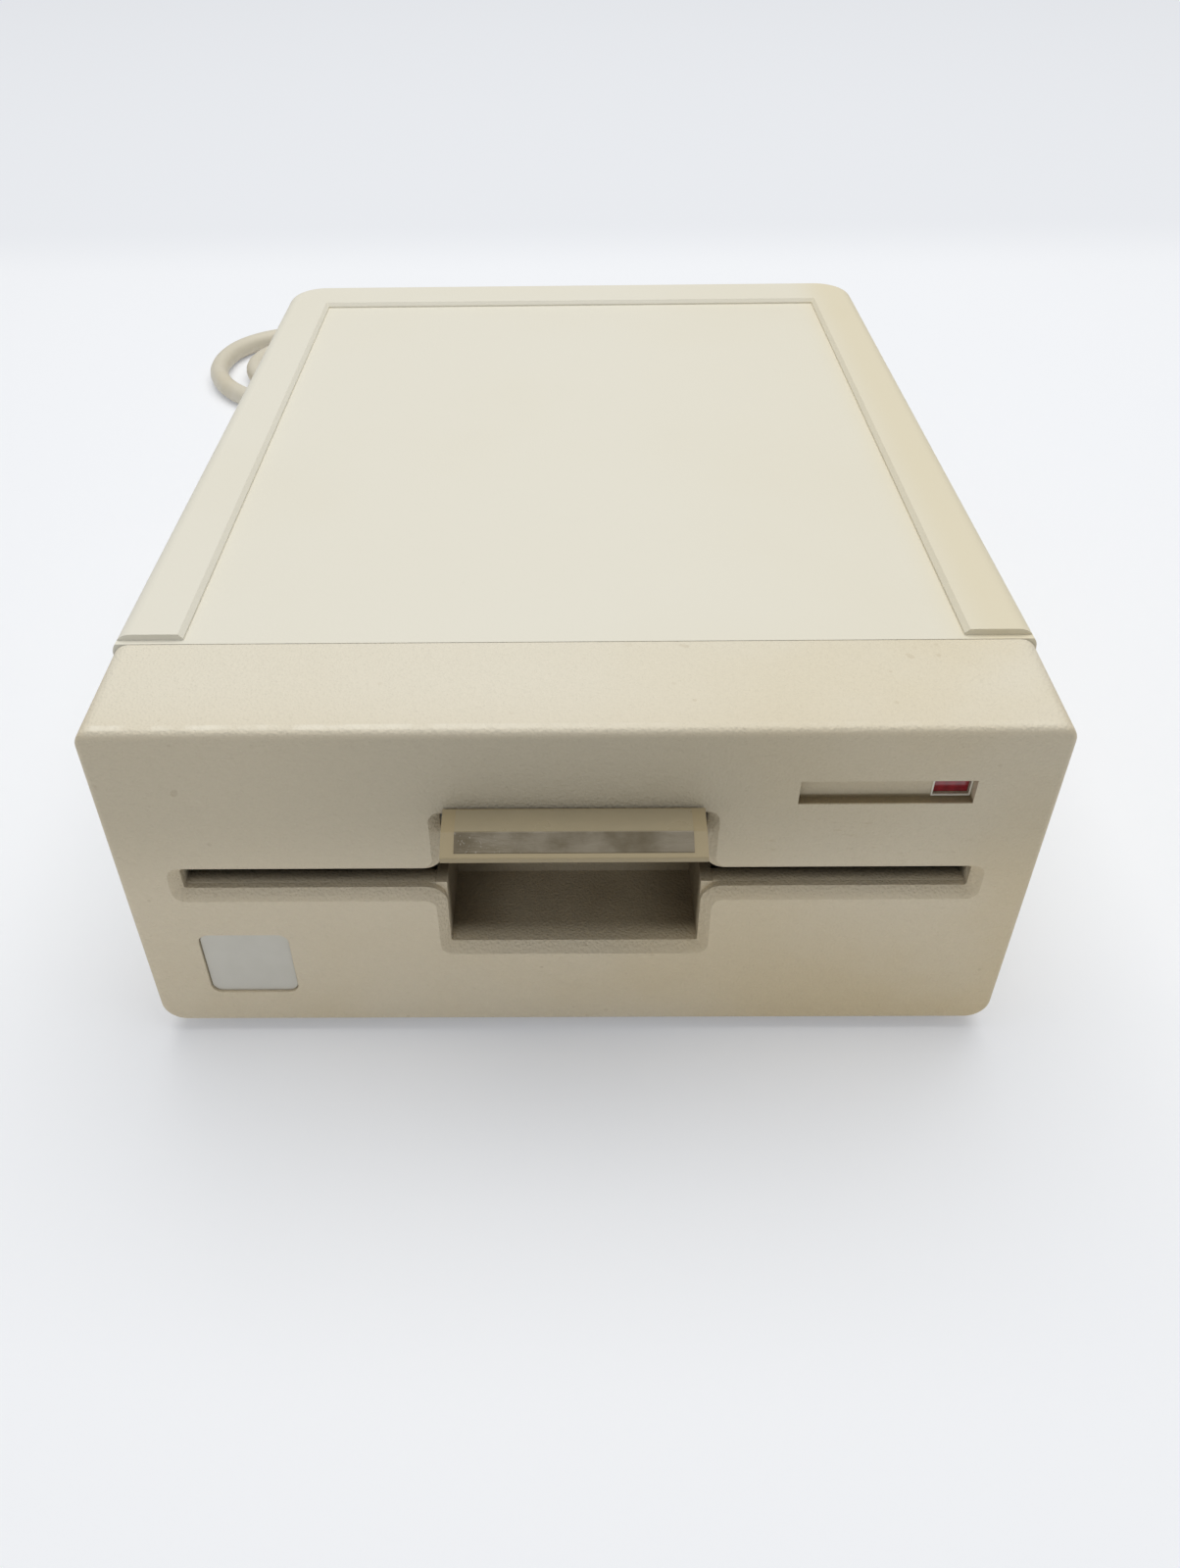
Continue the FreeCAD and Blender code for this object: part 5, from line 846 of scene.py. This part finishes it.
class DRIVE_OT_slot_shelves(bpy.types.Operator):
    """Build the ledges that lead a disk in behind the slot, one each side of the well"""
    bl_idname = "drive.slot_shelves"
    bl_label = "Slot shelves"

    def execute(self, context):
        front, back = FACE_Y / MM + SHELF_FRONT, FACE_Y / MM + SHELF_BACK
        slot = SLOT_LOW, SLOT_HIGH, SLOT_SIDE, WELL_SIDE
        low, high, side, well = (value / MM for value in slot)
        for word, sign in (("left", -1), ("right", 1)):
            shelf = box_piece(f"slot_shelf_{word}", (well, front, low - SHELF_WALL),
                              (side + SHELF_WALL, back, low))
            edit(shelf)
            bpy.ops.mesh.select_all(action="SELECT")
            bpy.ops.mesh.bisect(plane_co=(side * MM, 0, 0), plane_no=(1, 0, 0))
            pick(shelf, lambda face: face.normal.z > 0.9 and face.center.x > side * MM)
            bpy.ops.mesh.extrude_region_move(
                TRANSFORM_OT_translate={"value": (0, 0, (high - low) * MM)})
            done()
            if sign < 0:
                shelf.scale.x = -1
                settle(shelf)
                edit(shelf)
                bpy.ops.mesh.select_all(action="SELECT")
                bpy.ops.mesh.normals_make_consistent(inside=False)
                done()
            finished(rounded(shelf, SHELF_EDGE), "case", "bezel_plastic")
        return {"FINISHED"}


class DRIVE_OT_lens_frame(bpy.types.Operator):
    """Cut the thin bright frame round the lamp lens"""
    bl_idname = "drive.lens_frame"
    bl_label = "Lens frame"

    def execute(self, context):
        low, high = (corner / MM for corner in (LENS_LOW, LENS_HIGH))
        left, right = low.x + LENS_MARGIN, high.x - LENS_MARGIN
        foot, top = low.z + LENS_MARGIN, high.z - LENS_MARGIN
        near, far, rim = low.y - LENS_FRAME_FRONT, low.y - LENS_FRAME_BACK, LENS_FRAME_RIM
        frame = box_piece("lens_frame", (left - rim, near, foot - rim),
                          (right + rim, far, top + rim))
        hole = box_piece("hole", (left, near - 1, foot), (right, far + 1, top))
        frame = rounded(carved(frame, hole), LENS_FRAME_EDGE)
        finished(frame, "case", "cover_plastic")
        return {"FINISHED"}


# Screws, in millimetres: the bars of their cross recesses, and how near an end its radius is read

SCREW_NODES = ("case_screws", "bezel_screws", "chassis_screws", "bracket_screws", "board_screws")
CROSS_BAR, CROSS_DEPTH, CROSS_PROUD = 0.62, 1.05, 1
END_SLICE = 0.3


def head_of(screw):
    """Where a screw's head ends, its long axis and which way the head points."""
    spots = [vertex.co for vertex in screw.data.vertices]
    low = Vector([min(spot[i] for spot in spots) for i in range(3)])
    high = Vector([max(spot[i] for spot in spots) for i in range(3)])
    axis = max(range(3), key=lambda i: high[i] - low[i])
    centre = (low + high) / 2

    def reach(level):
        return max((spot - centre).cross(Vector([i == axis for i in range(3)])).length
                   for spot in spots if abs(spot[axis] - level) < END_SLICE * MM)

    outward = 1 if reach(high[axis]) > reach(low[axis]) else -1
    centre[axis] = high[axis] if outward > 0 else low[axis]
    return centre, axis, outward


def cross_cutter(centre, axis, outward):
    """Two crossed bars, sunk in a screw's head."""
    bars = []
    for long_way in range(3):
        if long_way == axis:
            continue
        reach = [CROSS_BAR / 2] * 3
        reach[long_way] = sizes().recess / MM / 2
        low, high = ([centre[i] / MM + side * reach[i] for i in range(3)] for side in (-1, 1))
        tip = centre[axis] / MM
        low[axis], high[axis] = sorted((tip - outward * CROSS_DEPTH, tip + outward * CROSS_PROUD))
        bars.append(box_piece("bar", low, high))
    return joined("cross", bars)


class DRIVE_OT_screws(bpy.types.Operator):
    """Cut a cross recess in the head of every screw"""
    bl_idname = "drive.screws"
    bl_label = "Screws"

    def execute(self, context):
        for node in SCREW_NODES:
            name = node + "_cut"
            screws = [carved(screw, cross_cutter(*head_of(screw)))
                      for screw in loose_parts(copied(node, name))]
            finished(smooth(joined(name, screws)), "case", "zinc_steel", node)
        return {"FINISHED"}


# Plug fittings, in millimetres. A thumbscrew is a knob, a thin neck and a thread with ridges; each
# lies along x from its knob's end.

KNOB_END, KNOB_RADIUS, KNOB_SIDES = 8, 2.98, 40
KNURL_START, KNURL_END, KNURL_WALL = 1, 7, 0.04
NECK_RADIUS, NECK_END = 1.15, 12.3
THREAD_START, THREAD_PITCH, THREAD_RIDGES = 12.4, 0.58, 9
THREAD_ROOT, THREAD_CREST, THREAD_TIP = 1.2, 1.4, (17.7, 1.0)
HOOD_RIBS, HOOD_RIB_PITCH, HOOD_RIB_X = 6, 2.8, (4, 5.4)
HOOD_RIB_HALF, HOOD_RIB_SUNK, HOOD_RIB_PROUD, HOOD_RIB_EDGE = 13, 0.4, 0.6, 0.45


class DRIVE_OT_thumbscrews(bpy.types.Operator):
    """Turn the plug's two thumbscrews, with knurled knobs and a ridged thread"""
    bl_idname = "drive.thumbscrews"
    bl_label = "Thumbscrews"

    def execute(self, context):
        for word in ("left", "right"):
            node = f"plug_screw_{word}"
            low, high = (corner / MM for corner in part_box(node))
            middle = (low.x, (low.y + high.y) / 2, (low.z + high.z) / 2)
            rings = [(0, 2.3), (0.6, KNOB_RADIUS), (7.4, KNOB_RADIUS), (KNOB_END, 2.5),
                     (KNOB_END, NECK_RADIUS), (NECK_END, NECK_RADIUS), (NECK_END, THREAD_ROOT)]
            for ridge in range(THREAD_RIDGES):
                start = THREAD_START + THREAD_PITCH * ridge
                rings += [(start + 0.2, THREAD_CREST), (start + 0.3, THREAD_CREST),
                          (start + 0.5, THREAD_ROOT)]
            screw = turned(f"thumbscrew_{word}", "x", middle, rings + [THREAD_TIP], KNOB_SIDES)
            # Face middles lie halfway between two counts, so the grooves come out uneven.
            pick(screw, lambda face: KNURL_START < face.center.x / MM - low.x < KNURL_END
                 and round(face_angle(face, middle) / (360 / KNOB_SIDES)) % 2 == 0)
            bpy.ops.mesh.inset(thickness=KNURL_WALL * MM, depth=-sizes().knurl, use_individual=True)
            done()
            finished(smooth(screw), node, "zinc_steel", node)
        return {"FINISHED"}


def face_angle(face, middle):
    """Angle of a face round a line along X, in degrees."""
    across = face.center / MM - Vector(middle)
    return math.degrees(Vector((0, 1)).angle_signed(Vector((across.y, across.z)), 0))


class DRIVE_OT_hood_ribs(bpy.types.Operator):
    """Add the grip ribs across the plug's hood"""
    bl_idname = "drive.hood_ribs"
    bl_label = "Hood ribs"

    def execute(self, context):
        low, high = (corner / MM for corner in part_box("plug_hood"))
        middle = (low.y + high.y) / 2
        near, far = (low.x + along for along in HOOD_RIB_X)
        rib = box_piece("hood_rib", (near, middle - HOOD_RIB_HALF, high.z - HOOD_RIB_SUNK),
                        (far, middle + HOOD_RIB_HALF, high.z + HOOD_RIB_PROUD))
        rib = rounded(rib, HOOD_RIB_EDGE, 3)
        ribs = [rib]
        for step in range(1, HOOD_RIBS):
            other = bpy.data.objects.new("hood_rib", rib.data.copy())
            context.scene.collection.objects.link(other)
            other.location.x = HOOD_RIB_PITCH * step * MM
            ribs.append(settle(other))
        finished(joined("hood_ribs", ribs), "case", "cord_vinyl")
        return {"FINISHED"}


class DRIVE_OT_finishes(bpy.types.Operator):
    """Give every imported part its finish"""
    bl_idname = "drive.finishes"
    bl_label = "Finishes"

    def execute(self, context):
        for row in FRAME["record"]["subparts"]:
            for place in NODES[row["node"]].material_slots:
                place.material = finish_of(row["material_slot"])
        return {"FINISHED"}


OPERATORS = (DRIVE_OT_stage, DRIVE_OT_cord, DRIVE_OT_boot, DRIVE_OT_slot_shelves,
             DRIVE_OT_lens_frame, DRIVE_OT_screws, DRIVE_OT_thumbscrews, DRIVE_OT_hood_ribs,
             DRIVE_OT_finishes)


class DRIVE_PT_parts(bpy.types.Panel):
    """Lists the steps that finish the drive"""
    bl_idname = "DRIVE_PT_parts"
    bl_label = "Diskette Drive"
    bl_space_type = "VIEW_3D"
    bl_region_type = "UI"
    bl_category = "Diskette Drive"

    def draw(self, context):
        for operator in OPERATORS:
            self.layout.operator(operator.bl_idname)
        for group in (context.scene.drive_colours, context.scene.drive_sizes):
            for name in group.__annotations__:
                self.layout.prop(group, name)


CLASSES = (DriveColours, DriveSizes, *OPERATORS, DRIVE_PT_parts)


def register():
    for made_class in CLASSES:
        bpy.utils.register_class(made_class)
    bpy.types.Scene.drive_colours = bpy.props.PointerProperty(type=DriveColours)
    bpy.types.Scene.drive_sizes = bpy.props.PointerProperty(type=DriveSizes)


def unregister():
    del bpy.types.Scene.drive_sizes
    del bpy.types.Scene.drive_colours
    for made_class in reversed(CLASSES):
        bpy.utils.unregister_class(made_class)


def main():
    register()
    for operator in OPERATORS:
        group, name = operator.bl_idname.split(".")
        getattr(getattr(bpy.ops, group), name)()


if __name__ == "__main__":
    main()
